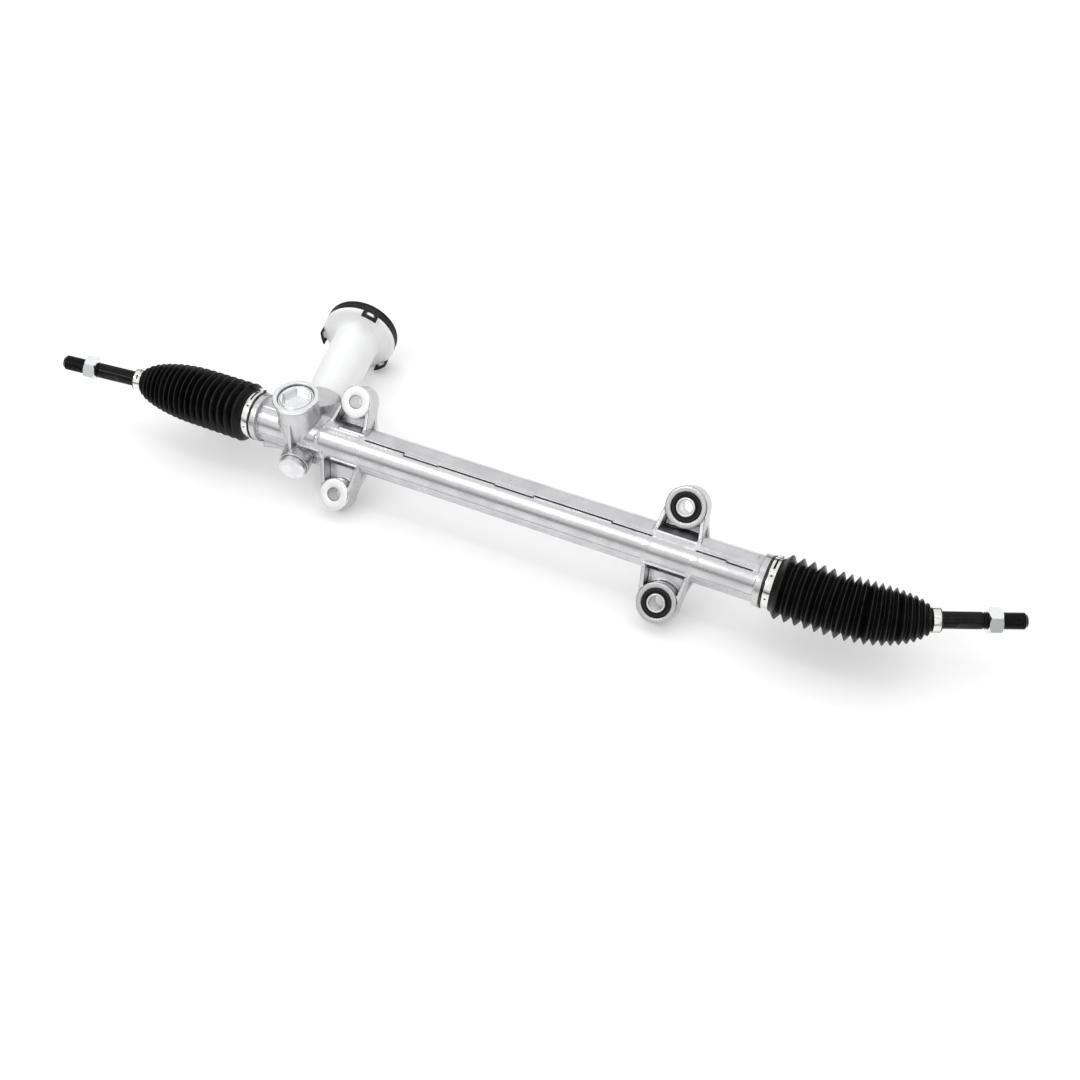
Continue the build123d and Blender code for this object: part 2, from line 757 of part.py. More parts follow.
with BuildPart() as pinion_seal:
    with BuildSketch(pinion_plane.offset(seal_start)):
        Circle(seal_radius - seat_gap)
        Circle(shaft_radius + face_gap, mode=Mode.SUBTRACT)
    extrude(amount=seal_width)
    with BuildSketch(pinion_plane.offset(seal_start + seal_width)):
        Circle(seal_radius - seal_rim)
        Circle(shaft_radius + seal_rim, mode=Mode.SUBTRACT)
    extrude(amount=-seal_width / 2, mode=Mode.SUBTRACT)
pinion_seal.part.label = "pinion_seal"
export_step(pinion_seal.part, "parts/pinion_seal.step")

with BuildPart() as bottom_cap:
    with BuildSketch(pinion_plane.offset(-pinion_foot_end - seat_gap)):
        Circle(bottom_cap_radius)
    extrude(amount=-bottom_cap_height + seat_gap)
    chamfer(bottom_cap.faces().sort_by(pinion_axis)[0].edges(), bottom_cap_chamfer)
    with BuildSketch(pinion_plane.offset(-pinion_foot_end - seat_gap)):
        Circle(bottom_cap_plug_radius)
    extrude(amount=bottom_cap_plug_length)
bottom_cap.part.label = "bottom_cap"
export_step(bottom_cap.part, "parts/bottom_cap.step")

# ---------------------------------------------------------------------------
# Yoke, liner, springs, O-ring and plug
# ---------------------------------------------------------------------------
saddle_plane = rack_section(pinion_x - yoke_radius - over_cut)
ring_groove_height = spring_seat + yoke_ring_rise
with BuildPart() as yoke:
    with BuildSketch(yoke_plane.offset(yoke_bottom)):
        Circle(yoke_radius)
    extrude(amount=yoke_top - yoke_bottom)
    with BuildSketch(saddle_plane):
        Circle(rack_radius + liner_thickness + running_gap + seat_gap)
    extrude(amount=2 * yoke_radius + 2 * over_cut, mode=Mode.SUBTRACT)
    with BuildSketch(yoke_plane.offset(spring_seat)):
        Circle(spring_radius + face_gap)
    extrude(amount=yoke_top - spring_seat, mode=Mode.SUBTRACT)
    with BuildSketch(yoke_plane.offset(ring_groove_height)):
        Circle(yoke_radius + over_cut)
        Circle(yoke_radius - 2 * ring_section_radius, mode=Mode.SUBTRACT)
    extrude(amount=2 * ring_section_radius + 2 * face_gap, mode=Mode.SUBTRACT)
yoke.part.label = "yoke"
export_step(yoke.part, "parts/yoke.step")

with BuildPart() as yoke_liner:
    with BuildSketch(saddle_plane):
        Circle(rack_radius + liner_thickness + running_gap)
        Circle(rack_radius + running_gap, mode=Mode.SUBTRACT)
    extrude(amount=2 * yoke_radius + 2 * over_cut)
    with BuildSketch(yoke_plane.offset(yoke_bottom + 2 * liner_inset)):
        Circle(yoke_radius - liner_inset)
    extrude(amount=yoke_top, mode=Mode.INTERSECT)
yoke_liner.part.label = "yoke_liner"
export_step(yoke_liner.part, "parts/yoke_liner.step")

with BuildPart() as yoke_spring:
    spring_pitch = (yoke_top - spring_seat) / spring_count
    with BuildSketch(yoke_section):
        for index in range(spring_count):
            rising = index % 2 == 0
            outer = spring_seat + seat_gap + index * spring_pitch + (0 if rising else spring_cone)
            inner = spring_seat + seat_gap + index * spring_pitch + (spring_cone if rising else 0)
            with BuildLine():
                Polyline(
                    (spring_bore_radius, inner), (spring_radius, outer),
                    (spring_radius, outer + spring_thickness),
                    (spring_bore_radius, inner + spring_thickness),
                    close=True,
                )
            make_face()
    revolve(axis=yoke_axis)
yoke_spring.part.label = "yoke_spring"
export_step(yoke_spring.part, "parts/yoke_spring.step")

with BuildPart() as yoke_ring:
    with BuildSketch(yoke_section):
        ring_height = ring_groove_height + ring_section_radius + face_gap
        with Locations((yoke_radius - ring_section_radius, ring_height)):
            Circle(ring_section_radius - seat_gap)
    revolve(axis=yoke_axis)
yoke_ring.part.label = "yoke_ring"
export_step(yoke_ring.part, "parts/yoke_ring.step")

with BuildPart() as yoke_plug:
    with BuildSketch(yoke_plane.offset(plug_bottom)):
        Circle(plug_radius)
    extrude(amount=plug_height)
    with BuildSketch(yoke_plane.offset(plug_bottom + plug_height)):
        RegularPolygon(plug_hexagon / 2, 6, major_radius=False)
    extrude(amount=-plug_hexagon_depth, mode=Mode.SUBTRACT)
    with BuildSketch(yoke_plane.offset(plug_bottom + plug_height)):
        Circle(plug_radius + over_cut)
        Circle(plug_step_radius, mode=Mode.SUBTRACT)
    extrude(amount=-plug_step, mode=Mode.SUBTRACT)
    chamfer(yoke_plug.edges().filter_by(GeomType.CIRCLE).sort_by(Axis.Z)[-1], plug_chamfer)
yoke_plug.part.label = "yoke_plug"
export_step(yoke_plug.part, "parts/yoke_plug.step")

# ---------------------------------------------------------------------------
# Dust cover and its rubber seal
# ---------------------------------------------------------------------------
seal_join = cover_end + face_gap
with BuildPart() as dust_cover:
    with BuildSketch(bearing_plane):
        with BuildLine():
            Polyline(
                (cover_neck_radius, cover_start), (cover_flare_radius, cover_flare_start),
                (cover_flange_radius, cover_end - cover_rim), (cover_flange_radius, cover_end),
                (cover_flange_radius - cover_wall, cover_end),
                (cover_flare_radius - cover_wall / 2, cover_flare_start + cover_inner_rise),
                (cover_neck_radius - cover_wall, cover_start + cover_seat_length + cover_seat_spare),
                (cover_neck_radius - cover_wall, cover_start),
                close=True,
            )
        make_face()
    revolve(axis=pinion_axis)
dust_cover.part.label = "dust_cover"
export_step(dust_cover.part, "parts/dust_cover.step")

with BuildPart() as dust_cover_seal:
    with BuildSketch(pinion_plane.offset(seal_join)):
        Circle(cover_flange_radius)
        Circle(cover_flange_radius - cover_seal_wall, mode=Mode.SUBTRACT)
    extrude(amount=cover_seal_depth)
    for angle in cover_tab_angles:
        outer = cover_flange_radius + cover_tab_reach
        with BuildSketch(pinion_plane.offset(seal_join + cover_seal_depth)):
            with PolarLocations(outer - cover_tab_reach / 2, 1, start_angle=angle):
                Rectangle(cover_tab_reach - 2 * face_gap, cover_tab_width)
        extrude(amount=-cover_seal_depth - cover_tab_length)
        with BuildSketch(pinion_plane.offset(seal_join + cover_seal_lip)):
            with PolarLocations(outer - cover_tab_reach, 1, start_angle=angle):
                Rectangle(cover_tab_reach + over_cut, cover_tab_width)
        extrude(amount=cover_seal_depth - cover_seal_lip)
dust_cover_seal.part.label = "dust_cover_seal"
export_step(dust_cover_seal.part, "parts/dust_cover_seal.step")

# ---------------------------------------------------------------------------
# Both ends: ball socket, lock washer, ball seat, tie rod, nut, bellows, clamps
# ---------------------------------------------------------------------------
seat_radius = ball_radius + running_gap + seat_wall
rod_thread_start = rod_length - thread_length
rod_flats_start = rod_thread_start - rod_flats_to_thread - rod_flats_length
rod_cuff_start = rod_taper_start + rod_taper_length
nut_bore_radius = thread_radius - thread_relief + seat_gap
cavity_radius = seat_radius + running_gap
seat_mouth = (ball_radius + running_gap) * cos(radians(seat_mouth_angle))


def side_plane(ball_x, outward):
    """Plane through a ball centre that holds the rack axis, with its x pointing outwards."""
    return Plane(origin=(ball_x, 0, 0), x_dir=(outward, 0, 0), z_dir=(0, -outward, 0))


def bent_path(end_x, ball_x, outward, direction, cuff_to_ball, share):
    """Point and tangent at a share of the way from the housing's end to the bellows' small end."""
    start = Vector(end_x, 0, 0)
    ball = Vector(ball_x, 0, 0)
    level = Vector(outward, 0, 0)
    bend_start = ball - level * bend_length
    straight = (bend_start - start).length
    length = straight + bend_length + cuff_to_ball
    travelled = share * length
    if travelled < straight:
        return start + level * travelled, level
    step = (travelled - straight) / (bend_length + cuff_to_ball)
    finish = ball + direction * cuff_to_ball
    point = bend_start * (1 - step) ** 2 + ball * (2 * step * (1 - step)) + finish * step**2
    slope = (ball - bend_start) * (1 - step) + (finish - ball) * step
    return point, slope.normalized()


def fold_peak(share, dome_end):
    """Outer radius of the bellows' folds at a share of its length."""
    if share < bellows_dome_start:
        return bellows_radius - bellows_slope * share
    drop = (share - bellows_dome_start) / (dome_end - bellows_dome_start)
    dome = bellows_radius - bellows_slope * bellows_dome_start - small_cuff_radius
    return small_cuff_radius + dome * sqrt(max(0, 1 - drop**2))


def fold_depth(share):
    """Depth of the bellows' folds at a share of its length."""
    late = max(0, share - bellows_dome_start) / (1 - bellows_dome_start)
    return bellows_fold_depth * (1 - (1 - bellows_end_depth) * late)


sides = (
    ("left", -1, left_end, left_ball_x, left_direction, left_nut_to_end, left_cuff_to_ball),
    ("right", 1, right_end, right_ball_x, right_direction, right_nut_to_end, right_cuff_to_ball),
)
for side, outward, end_x, ball_x, direction, nut_to_end, cuff_to_ball in sides:
    nut_face = rod_length - nut_to_end
    rack_axis = Axis((ball_x, 0, 0), (outward, 0, 0))
    rod_axis = Axis((ball_x, 0, 0), direction)
    centre = Vector(ball_x, 0, 0)

    with BuildPart() as ball_socket:
        with BuildSketch(rack_section(ball_x - outward * socket_back)):
            Circle(socket_radius)
        extrude(amount=outward * (socket_back + socket_front))
        chamfer(ball_socket.edges().sort_by(rack_axis)[-1], socket_lip)
        with BuildSketch(side_plane(ball_x, outward)):
            with BuildLine():
                mouth = polar(cavity_radius, socket_mouth_angle)
                reach = socket_front + over_cut
                flare = mouth[1] + (reach - mouth[0]) * socket_mouth_slope
                Line((-cavity_radius, 0), (reach, 0))
                Line((reach, 0), (reach, flare))
                Line((reach, flare), mouth)
                ThreePointArc(mouth, (0, cavity_radius), (-cavity_radius, 0))
            make_face()
        revolve(axis=rack_axis, mode=Mode.SUBTRACT)
        with BuildSketch(rack_section(ball_x - outward * socket_back)):
            Circle(stud_radius)
        extrude(amount=-outward * (washer_thickness + stud_length))
        with BuildSketch(rack_section(ball_x - outward * socket_back)):
            Circle(socket_radius + over_cut)
            Rectangle(socket_flats, 4 * socket_radius, mode=Mode.SUBTRACT)
        extrude(amount=outward * (socket_back + socket_front) / 2, mode=Mode.SUBTRACT)
    ball_socket.part.label = f"{side}_ball_socket"
    export_step(ball_socket.part, f"parts/{side}_ball_socket.step")

    with BuildPart() as lock_washer:
        with BuildSketch(rack_section(ball_x - outward * (socket_back + seat_gap))):
            Circle(socket_radius - washer_inset)
            Circle(stud_radius + seat_gap, mode=Mode.SUBTRACT)
        extrude(amount=-outward * (washer_thickness - 2 * seat_gap))
    lock_washer.part.label = f"{side}_lock_washer"
    export_step(lock_washer.part, f"parts/{side}_lock_washer.step")

    # Plastic seat round the ball, open towards the rod and behind the ball
    with BuildPart() as ball_seat:
        with Locations(centre):
            Sphere(seat_radius)
            Sphere(ball_radius + running_gap, mode=Mode.SUBTRACT)
        with BuildSketch(rod_plane(ball_x, direction, seat_mouth)):
            Circle(seat_radius + over_cut)
        extrude(amount=seat_radius, mode=Mode.SUBTRACT)
        with BuildSketch(rod_plane(ball_x, direction, -seat_radius - over_cut)):
            Circle(seat_hole_radius)
        extrude(amount=seat_radius, mode=Mode.SUBTRACT)
    ball_seat.part.label = f"{side}_ball_seat"
    export_step(ball_seat.part, f"parts/{side}_ball_seat.step")

    with BuildPart() as tie_rod:
        with Locations(centre):
            Sphere(ball_radius)
        with BuildSketch(rod_plane(ball_x, direction)):
            Circle(rod_neck_radius)
        extrude(amount=rod_taper_start)
        with BuildSketch(rod_plane(ball_x, direction, rod_taper_start)):
            Circle(rod_neck_radius)
        with BuildSketch(rod_plane(ball_x, direction, rod_cuff_start)):
            Circle(rod_cuff_radius)
        loft()
        with BuildSketch(rod_plane(ball_x, direction, rod_cuff_start)):
            Circle(rod_cuff_radius)
        extrude(amount=rod_thread_start - rod_cuff_start)
        with BuildSketch(rod_plane(ball_x, direction, rod_thread_start)):
            Circle(thread_radius - thread_relief)
        extrude(amount=nut_face - rod_thread_start)
        with BuildSketch(rod_plane(ball_x, direction, nut_face)):
            Circle(thread_radius)
        extrude(amount=rod_length - nut_face)
        tip_edge = tie_rod.edges().filter_by(GeomType.CIRCLE).sort_by(rod_axis)[-1]
        chamfer(tip_edge, thread_tip_chamfer)
        with BuildSketch(rod_plane(ball_x, direction, rod_flats_start)):
            Circle(rod_cuff_radius + over_cut)
            Rectangle(rod_flats, 4 * rod_cuff_radius, mode=Mode.SUBTRACT)
        extrude(amount=rod_flats_length, mode=Mode.SUBTRACT)
    tie_rod.part.label = f"{side}_tie_rod"
    export_step(tie_rod.part, f"parts/{side}_tie_rod.step")

    with BuildPart() as lock_nut:
        with BuildSketch(rod_plane(ball_x, direction, nut_face)):
            RegularPolygon(nut_flats / 2, 6, major_radius=False)
        extrude(amount=-nut_height)
        # both faces are chamfered to a cone that leaves a round seat
        nut_level = rod_plane(ball_x, direction).x_dir
        nut_section = Plane(
            origin=centre + direction * nut_face, x_dir=nut_level, z_dir=nut_level.cross(direction)
        )
        corner = nut_flats / sqrt(3)
        seat = nut_flats / 2 - nut_seat_step
        fall = (corner - seat) * tan(radians(nut_chamfer_angle))
        with BuildSketch(nut_section):
            with BuildLine():
                Polyline(
                    (0, 0), (seat, 0), (corner, -fall), (corner, fall - nut_height), (seat, -nut_height),
                    (0, -nut_height),
                    close=True,
                )
            make_face()
        revolve(axis=rod_axis, mode=Mode.INTERSECT)
        with BuildSketch(rod_plane(ball_x, direction, nut_face + over_cut)):
            Circle(nut_bore_radius)
        extrude(amount=-nut_height - 2 * over_cut, mode=Mode.SUBTRACT)
    lock_nut.part.label = f"{side}_lock_nut"
    export_step(lock_nut.part, f"parts/{side}_lock_nut.step")

    # Bellows: a smooth big cuff, folds along the bent path, and a small cuff on the rod
    bent_length = abs(ball_x - end_x) + cuff_to_ball
    big_share = bellows_cuff_length / bent_length
    small_share = 1 - small_cuff_length / bent_length

    def bellows_plane(share):
        point, tangent = bent_path(end_x, ball_x, outward, direction, cuff_to_ball, share)
        return Plane(origin=point, x_dir=Vector(0, 0, 1).cross(tangent), z_dir=tangent)

    def fold_share(step):
        crowded = step + bellows_crowding * step * (1 - step)
        return big_share + (small_share - big_share) * crowded

    with BuildPart() as bellows:
        with BuildSketch(bellows_plane(0)):
            Circle(spigot_radius + bellows_cuff_wall)
        with BuildSketch(bellows_plane(big_share)):
            Circle(spigot_radius + bellows_cuff_wall)
        for index in range(1, 2 * bellows_fold_count + 2):
            share = fold_share(index / (2 * bellows_fold_count + 2))
            with BuildSketch(bellows_plane(share)):
                Circle(fold_peak(share, small_share) - (0 if index % 2 else fold_depth(share)))
        for share in (small_share, 1):
            with BuildSketch(bellows_plane(share)):
                Circle(small_cuff_radius)
        loft(ruled=True)
    with BuildPart() as bellows_core:
        for share in (0, big_share):
            with BuildSketch(bellows_plane(share)):
                Circle(spigot_radius + face_gap)
        for step in core_steps:
            share = fold_share(step)
            valley = fold_peak(share, small_share) - fold_depth(share)
            with BuildSketch(bellows_plane(share)):
                Circle(max(valley - bellows_wall, rod_cuff_radius + face_gap))
        for share in (small_share, 1):
            with BuildSketch(bellows_plane(share)):
                Circle(rod_cuff_radius + face_gap)
        loft(ruled=True)
    with bellows:
        add(bellows_core.part, mode=Mode.SUBTRACT)
    bellows.part.label = f"{side}_bellows"
    export_step(bellows.part, f"parts/{side}_bellows.step")

    with BuildPart() as big_clamp:
        cuff = spigot_radius + bellows_cuff_wall + face_gap
        with BuildSketch(rack_section(end_x + outward * (bellows_cuff_length - big_clamp_width) / 2)):
            Circle(cuff + big_clamp_wall)
            with PolarLocations(cuff + big_clamp_ear / 2, 1, start_angle=bolt_lean):
                Rectangle(big_clamp_ear, big_clamp_ear_width)
            Circle(cuff, mode=Mode.SUBTRACT)
        extrude(amount=outward * big_clamp_width)
    big_clamp.part.label = f"{side}_big_clamp"
    export_step(big_clamp.part, f"parts/{side}_big_clamp.step")

    with BuildPart() as small_clamp:
        cuff = small_cuff_radius + face_gap
        middle = cuff_to_ball - small_cuff_length / 2
        with BuildSketch(rod_plane(ball_x, direction, middle - small_clamp_width / 2)):
            Circle(cuff + small_clamp_wire)
            Circle(cuff, mode=Mode.SUBTRACT)
        extrude(amount=small_clamp_width)
    small_clamp.part.label = f"{side}_small_clamp"
    export_step(small_clamp.part, f"parts/{side}_small_clamp.step")
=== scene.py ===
"""Finish, lights and camera for a rack-and-pinion steering gear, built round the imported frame."""

import json
import math

import bmesh
import bpy
from mathutils import Matrix, Vector


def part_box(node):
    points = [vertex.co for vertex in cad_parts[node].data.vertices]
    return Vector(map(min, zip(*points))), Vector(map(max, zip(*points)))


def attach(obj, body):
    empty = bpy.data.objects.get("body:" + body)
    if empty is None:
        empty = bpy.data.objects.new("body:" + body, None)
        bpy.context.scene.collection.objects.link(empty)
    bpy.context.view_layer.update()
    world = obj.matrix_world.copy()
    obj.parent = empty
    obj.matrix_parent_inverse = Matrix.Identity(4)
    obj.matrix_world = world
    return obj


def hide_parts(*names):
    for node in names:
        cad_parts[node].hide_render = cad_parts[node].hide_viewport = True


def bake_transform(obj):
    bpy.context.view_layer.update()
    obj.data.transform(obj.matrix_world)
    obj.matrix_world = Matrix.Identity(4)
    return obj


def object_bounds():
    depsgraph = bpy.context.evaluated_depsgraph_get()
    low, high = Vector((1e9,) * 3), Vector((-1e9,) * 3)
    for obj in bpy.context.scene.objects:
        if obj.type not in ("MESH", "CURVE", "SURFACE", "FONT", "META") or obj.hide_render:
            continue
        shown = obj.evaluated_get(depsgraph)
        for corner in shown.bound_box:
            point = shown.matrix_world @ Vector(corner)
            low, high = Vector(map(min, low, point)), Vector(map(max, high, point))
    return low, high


# ---- Sizes in millimetres, turned to metres where a mesh is made ----
MM = 0.001

# Bellows: cuffs, folds and the dome over the rod
CUFF_LENGTH = 12.0
CUFF_RADIUS = 24.6
CUFF_BORE = 22.6
CUFF_LIP = 1.6
FOLD_COUNT = 18
FOLD_RADIUS = 32.0
FOLD_SLOPE = 1.6
FOLD_DEPTH = 7.0
FOLD_END_DEPTH = 0.4
FOLD_CROWDING = 0.33
FOLD_SHARPNESS = 0.1
FOLD_PHASES = (0.0, 0.1, 0.22, 0.34, 0.42, 0.47, 0.5, 0.53, 0.58, 0.66, 0.78, 0.9)
DOME_START = 0.5
DOME_FULLNESS = 1.8
SMALL_CUFF_RADIUS = 10.8
SMALL_CUFF_LENGTH = 9.0
CUFF_TO_BALL = {"left": 51.0, "right": 53.5}
BEND_LENGTH = 45.0
BELLOWS_SEGMENTS = 96

# Places along the bellows from the housing's end: its spans are cut at the valleys nearest the second and third;
# the first and last are carried along unused
SLIDE_BLEND = (11.0, 94.0)
YAW_BLEND_END = 123.0
PITCH_BLEND_END = 141.0

# Clamps; the angles of the big ones are past the lean of the lugs, those of the small ones from level
BIG_CLAMP_WIDTH = 7.0
BIG_CLAMP_WALL = 0.9
BIG_TAIL = (8.0, 57.0)
BIG_SLOT = (15.0, 50.0)
BIG_HOLES = (64.0, 118.0)
HOLE_ANGLE = 4.2
EAR_ANGLE = 7.0
EAR_HALF_WALL = 1.2
EAR_ROOF_ANGLE = 8.2
EAR_HEIGHT = 2.9
SMALL_CLAMP_WIDTH = 7.0
SMALL_CLAMP_WALL = 0.9
SMALL_LAP = {"left": 28.0, "right": 200.0}
SMALL_LAP_ANGLE = 70.0
SMALL_SLOT_ANGLE = 26.0

# Tie rods, measured from the ball centre
BALL_RADIUS = 11.0
NECK_RADIUS = 5.5
TAPER_START = 16.0
TAPER_END = 24.0
ROD_RADIUS = 8.2
ROD_SHOULDER = 1.4
FLATS = 14.0
FLATS_START = 68.0
FLATS_END = 86.0
THREAD_START = 92.0
THREAD_RADIUS = 8.0
THREAD_DEPTH = 0.8
THREAD_PITCH = 1.5
THREAD_RUN_IN = 0.4
ROD_END = 132.0
TIP_CHAMFER = 1.8
NUT_TO_END = {"left": 25.2, "right": 23.5}
NUT_HEIGHT = 13.0
NUT_FLATS = 24.0

# Tube: the stepped parting gap as start, end and angle past the lean of the lugs
TUBE_RADIUS = 21.0
PARTING_JOGS = (
    (-158.0, -112.0, 51.0), (-112.0, -72.0, 59.0), (-72.0, -8.0, 56.0), (-8.0, 34.0, 59.0),
    (34.0, 118.0, 53.0), (118.0, 160.0, 57.0), (205.0, 236.0, 59.0), (236.0, 262.0, 63.0),
)
PARTING_GAP = 4.4
PARTING_DEPTH = 1.6

# Bars along the tube between the lugs and below the tower: start, end, angle from level behind, height
TUBE_BARS = (
    (-192.0, -161.0, 88.0, 1.8), (-193.5, -161.0, 188.0, 2.4), (-234.0, -203.0, 176.5, 1.8),
    (158.0, 205.0, 88.0, 1.8), (157.0, 203.0, 188.0, 2.4),
)
BAR_HALF_WIDTH = 1.1

# Where the lug ribs die away on the front of the tube: places along it, and the span in degrees
RIB_ENDS = (-161.7, 156.0, 206.2)
RIB_REACH = 5.5
RIB_FREE = (107.0, 170.0)

# Skin of the casting: grid, rounds of smoothing and the share of its faces that is kept
SKIN_GRID = 0.5
SKIN_ROUNDS = 6
SKIN_SHARE = 0.45

# Lugs: half depth about the bolt mounts, and radii
LUG_FACE = 11.5
LEFT_LUG_RADIUS = 16.5
RIGHT_LUG_RADIUS = 20.4
BOLT_RADIUS = 7.0
BUSH_RADIUS = 15.0
SLEEVE_RADIUS = 9.5
SLEEVE_HALF = 13.0
BUSH_INSET = 1.2

# Yoke tower and its plug
TOWER_RIM_RADIUS = 24.2
PLUG_RADIUS = 19.0
PLUG_BASE = 12.0
PLUG_SINK = 1.2
PLUG_STEP_RADIUS = 16.8
PLUG_STEP = 1.2
PLUG_HEXAGON = 26.0
PLUG_RECESS = 6.0

# Pinion side, measured along the pinion axis
CAP_BACK = 36.0
CAP_FRONT = 42.3
CAP_RADIUS = 14.4
COVER_START = 58.0
COVER_END = 173.0
COVER_NECK_RADIUS = 24.0
COVER_FLARE_RADIUS = 26.0
COVER_FLARE_START = 161.0
COVER_FLANGE_RADIUS = 41.9
COVER_RIM = 3.0
COVER_WALL = 2.0
SEAL_START = 173.3
SEAL_END = 185.3
SEAL_WALL = 5.0
TAB_ANGLES = (357.0, 117.0, 237.0)
TAB_HALF_ANGLE = 12.0
TAB_WINDOW = 6.4
TAB_START = 162.3
TAB_FOOT = 4.6
TAB_HEAD = 9.4
PEG_HALF_ANGLE = 4.6
PEG_SPAN = (5.1, 8.9)

# Camera, in metres in the frame of the gear
CAMERA_PLACE = Vector((0.4575, -0.8177, 1.0243))
CAMERA_RIGHT = Vector((0.9052, 0.4237, -0.0329))
CAMERA_UP = Vector((-0.3030, 0.6976, 0.6493))
CAMERA_LENS = 45.95
CAMERA_SENSOR = 36.0

# Meshes and finishes
SHARP_ANGLE = 35.0
LEFT_FACE_TONE = 0.9
RIGHT_FACE_TONE = 0.52
# Reaches of the ambient occlusion that spreads painted shade into nooks and creases, in millimetres
NOOK_REACH = 9.0
CREASE_REACH = 2.0
RING_DENSITY = 3500.0
FLOOR_HALF = 6.0
FLOOR_GLOW = 0.12


# ---- Meshes ----
def add_object(name, data):
    """A new object in the scene."""
    item = bpy.data.objects.new(name, data)
    bpy.context.scene.collection.objects.link(item)
    return item


def mesh_object(name, points, faces, smooth=True):
    """A mesh object from points in metres and faces as index lists."""
    mesh = bpy.data.meshes.new(name)
    mesh.from_pydata([tuple(point) for point in points], [], faces)
    mesh.validate()
    mesh.update()
    shade_smooth(mesh, smooth)
    return add_object(name, mesh)


def shade_smooth(mesh, smooth=True):
    """Smooth or flat shading on every face."""
    for polygon in mesh.polygons:
        polygon.use_smooth = smooth


def axis_frame(origin, direction):
    """Matrix whose z lies along a direction, with x level."""
    z = Vector(direction).normalized()
    x = Vector((0, 0, 1)).cross(z)
    if x.length < 1e-6:
        x = Vector((1, 0, 0))
    x.normalize()
    y = z.cross(x)
    matrix = Matrix((x, y, z)).transposed().to_4x4()
    matrix.translation = origin
    return matrix


def polar(radius, angle, height):
    """Point in metres at a radius, an angle and a height in millimetres."""
    return Vector((radius * math.cos(angle), radius * math.sin(angle), height)) * MM


def lathe_points(profile, segments, shape=None):
    """Rings of points round z for a profile of (radius, height) in millimetres."""
    points = []
    for radius, height in profile:
        for index in range(segments):
            angle = 2 * math.pi * index / segments
            reach = radius if shape is None else shape(radius, height, angle)
            points.append(polar(reach, angle, height))
    return points


def ring_faces(ring_count, segments, closed):
    """Quads between rings; closed joins the last ring to the first."""
    faces = []
    for ring in range(ring_count if closed else ring_count - 1):
        here = ring * segments
        there = (ring + 1) % ring_count * segments
        for index in range(segments):
            turn = (index + 1) % segments
            faces.append((here + index, here + turn, there + turn, there + index))
    return faces


def lathe(name, profile, matrix, segments=96, closed=True, shape=None):
    """A turned piece; closed joins the end of the profile to its start."""
    points = [matrix @ point for point in lathe_points(profile, segments, shape)]
    piece = mesh_object(name, points, ring_faces(len(profile), segments, closed))
    fix_normals(piece)
    piece.data.set_sharp_from_angle(angle=math.radians(SHARP_ANGLE))
    return piece


def fix_normals(piece):
    """Faces wound so that their normals point outwards."""
    work = bmesh.new()
    work.from_mesh(piece.data)
    bmesh.ops.recalc_face_normals(work, faces=work.faces)
    work.to_mesh(piece.data)
    work.free()


def curved_block(name, matrix, radii, angles, heights, steps=16, soft=True):
    """A block bent round z: between two radii, two angles in degrees and two heights."""
    (inner, outer), (low, high) = radii, heights
    points = []
    for step in range(steps + 1):
        angle = math.radians(angles[0] + (angles[1] - angles[0]) * step / steps)
        for radius, height in ((inner, low), (outer, low), (outer, high), (inner, high)):
            points.append(matrix @ polar(radius, angle, height))
    faces = [(3, 2, 1, 0), tuple(4 * steps + corner for corner in range(4))]
    for here in range(0, 4 * steps, 4):
        for corner in range(4):
            turn = (corner + 1) % 4
            faces.append((here + corner, here + turn, here + 4 + turn, here + 4 + corner))
    piece = mesh_object(name, points, faces)
    fix_normals(piece)
    if soft:
        soften_edges(piece, 0.22 * min(outer - inner, abs(high - low)))
    piece.data.set_sharp_from_angle(angle=math.radians(SHARP_ANGLE))
    return piece


def soften_edges(piece, width):
    """Rounds the sharp edges of a piece; width in millimetres."""
    work = bmesh.new()
    work.from_mesh(piece.data)
    sharp = [edge for edge in work.edges if edge.calc_face_angle(0.0) > math.radians(50)]
    bmesh.ops.bevel(work, geom=sharp, offset=width * MM, segments=2, profile=0.5, affect="EDGES")
    work.to_mesh(piece.data)
    work.free()


def curve_point(start, bend, end, share):
    """Point at a share of a curve from start to end that is drawn towards a bend."""
    return start * (1 - share) ** 2 + bend * (2 * share * (1 - share)) + end * share**2


def rounded_profile(corners, radius, steps=3):
    """A closed profile with each corner rounded by up to a radius."""
    result = []
    for index, corner in enumerate(corners):
        corner = Vector(corner)
        back = Vector(corners[index - 1]) - corner
        ahead = Vector(corners[(index + 1) % len(corners)]) - corner
        reach = min(radius, back.length * 0.45, ahead.length * 0.45)
        start = corner + back.normalized() * reach
        end = corner + ahead.normalized() * reach
        result += [tuple(curve_point(start, corner, end, step / steps)) for step in range(steps + 1)]
    return result


def join(name, pieces):
    """One object from several, with their material slots kept."""
    bpy.ops.object.select_all(action="DESELECT")
    for piece in pieces:
        piece.select_set(True)
    bpy.context.view_layer.objects.active = pieces[0]
    bpy.ops.object.join()
    pieces[0].name = name
    pieces[0].data.name = name
    return pieces[0]


def add_modifier(piece, kind, **settings):
    """A modifier with its settings."""
    modifier = piece.modifiers.new(kind.lower(), kind)
    for label, value in settings.items():
        setattr(modifier, label, value)


def apply_modifiers(piece):
    """The piece's evaluated mesh as its own."""
    graph = bpy.context.evaluated_depsgraph_get()
    mesh = bpy.data.meshes.new_from_object(piece.evaluated_get(graph))
    piece.modifiers.clear()
    piece.data = mesh


def finish_piece(piece, finishes, slot, body, *nodes, look=None):
    """Paints a piece with the finish of its slot or look, and lets it ride on a body in place of any nodes."""
    paint(piece, finishes[look or slot])
    for node in nodes:
        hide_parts(node)
    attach(piece, body)


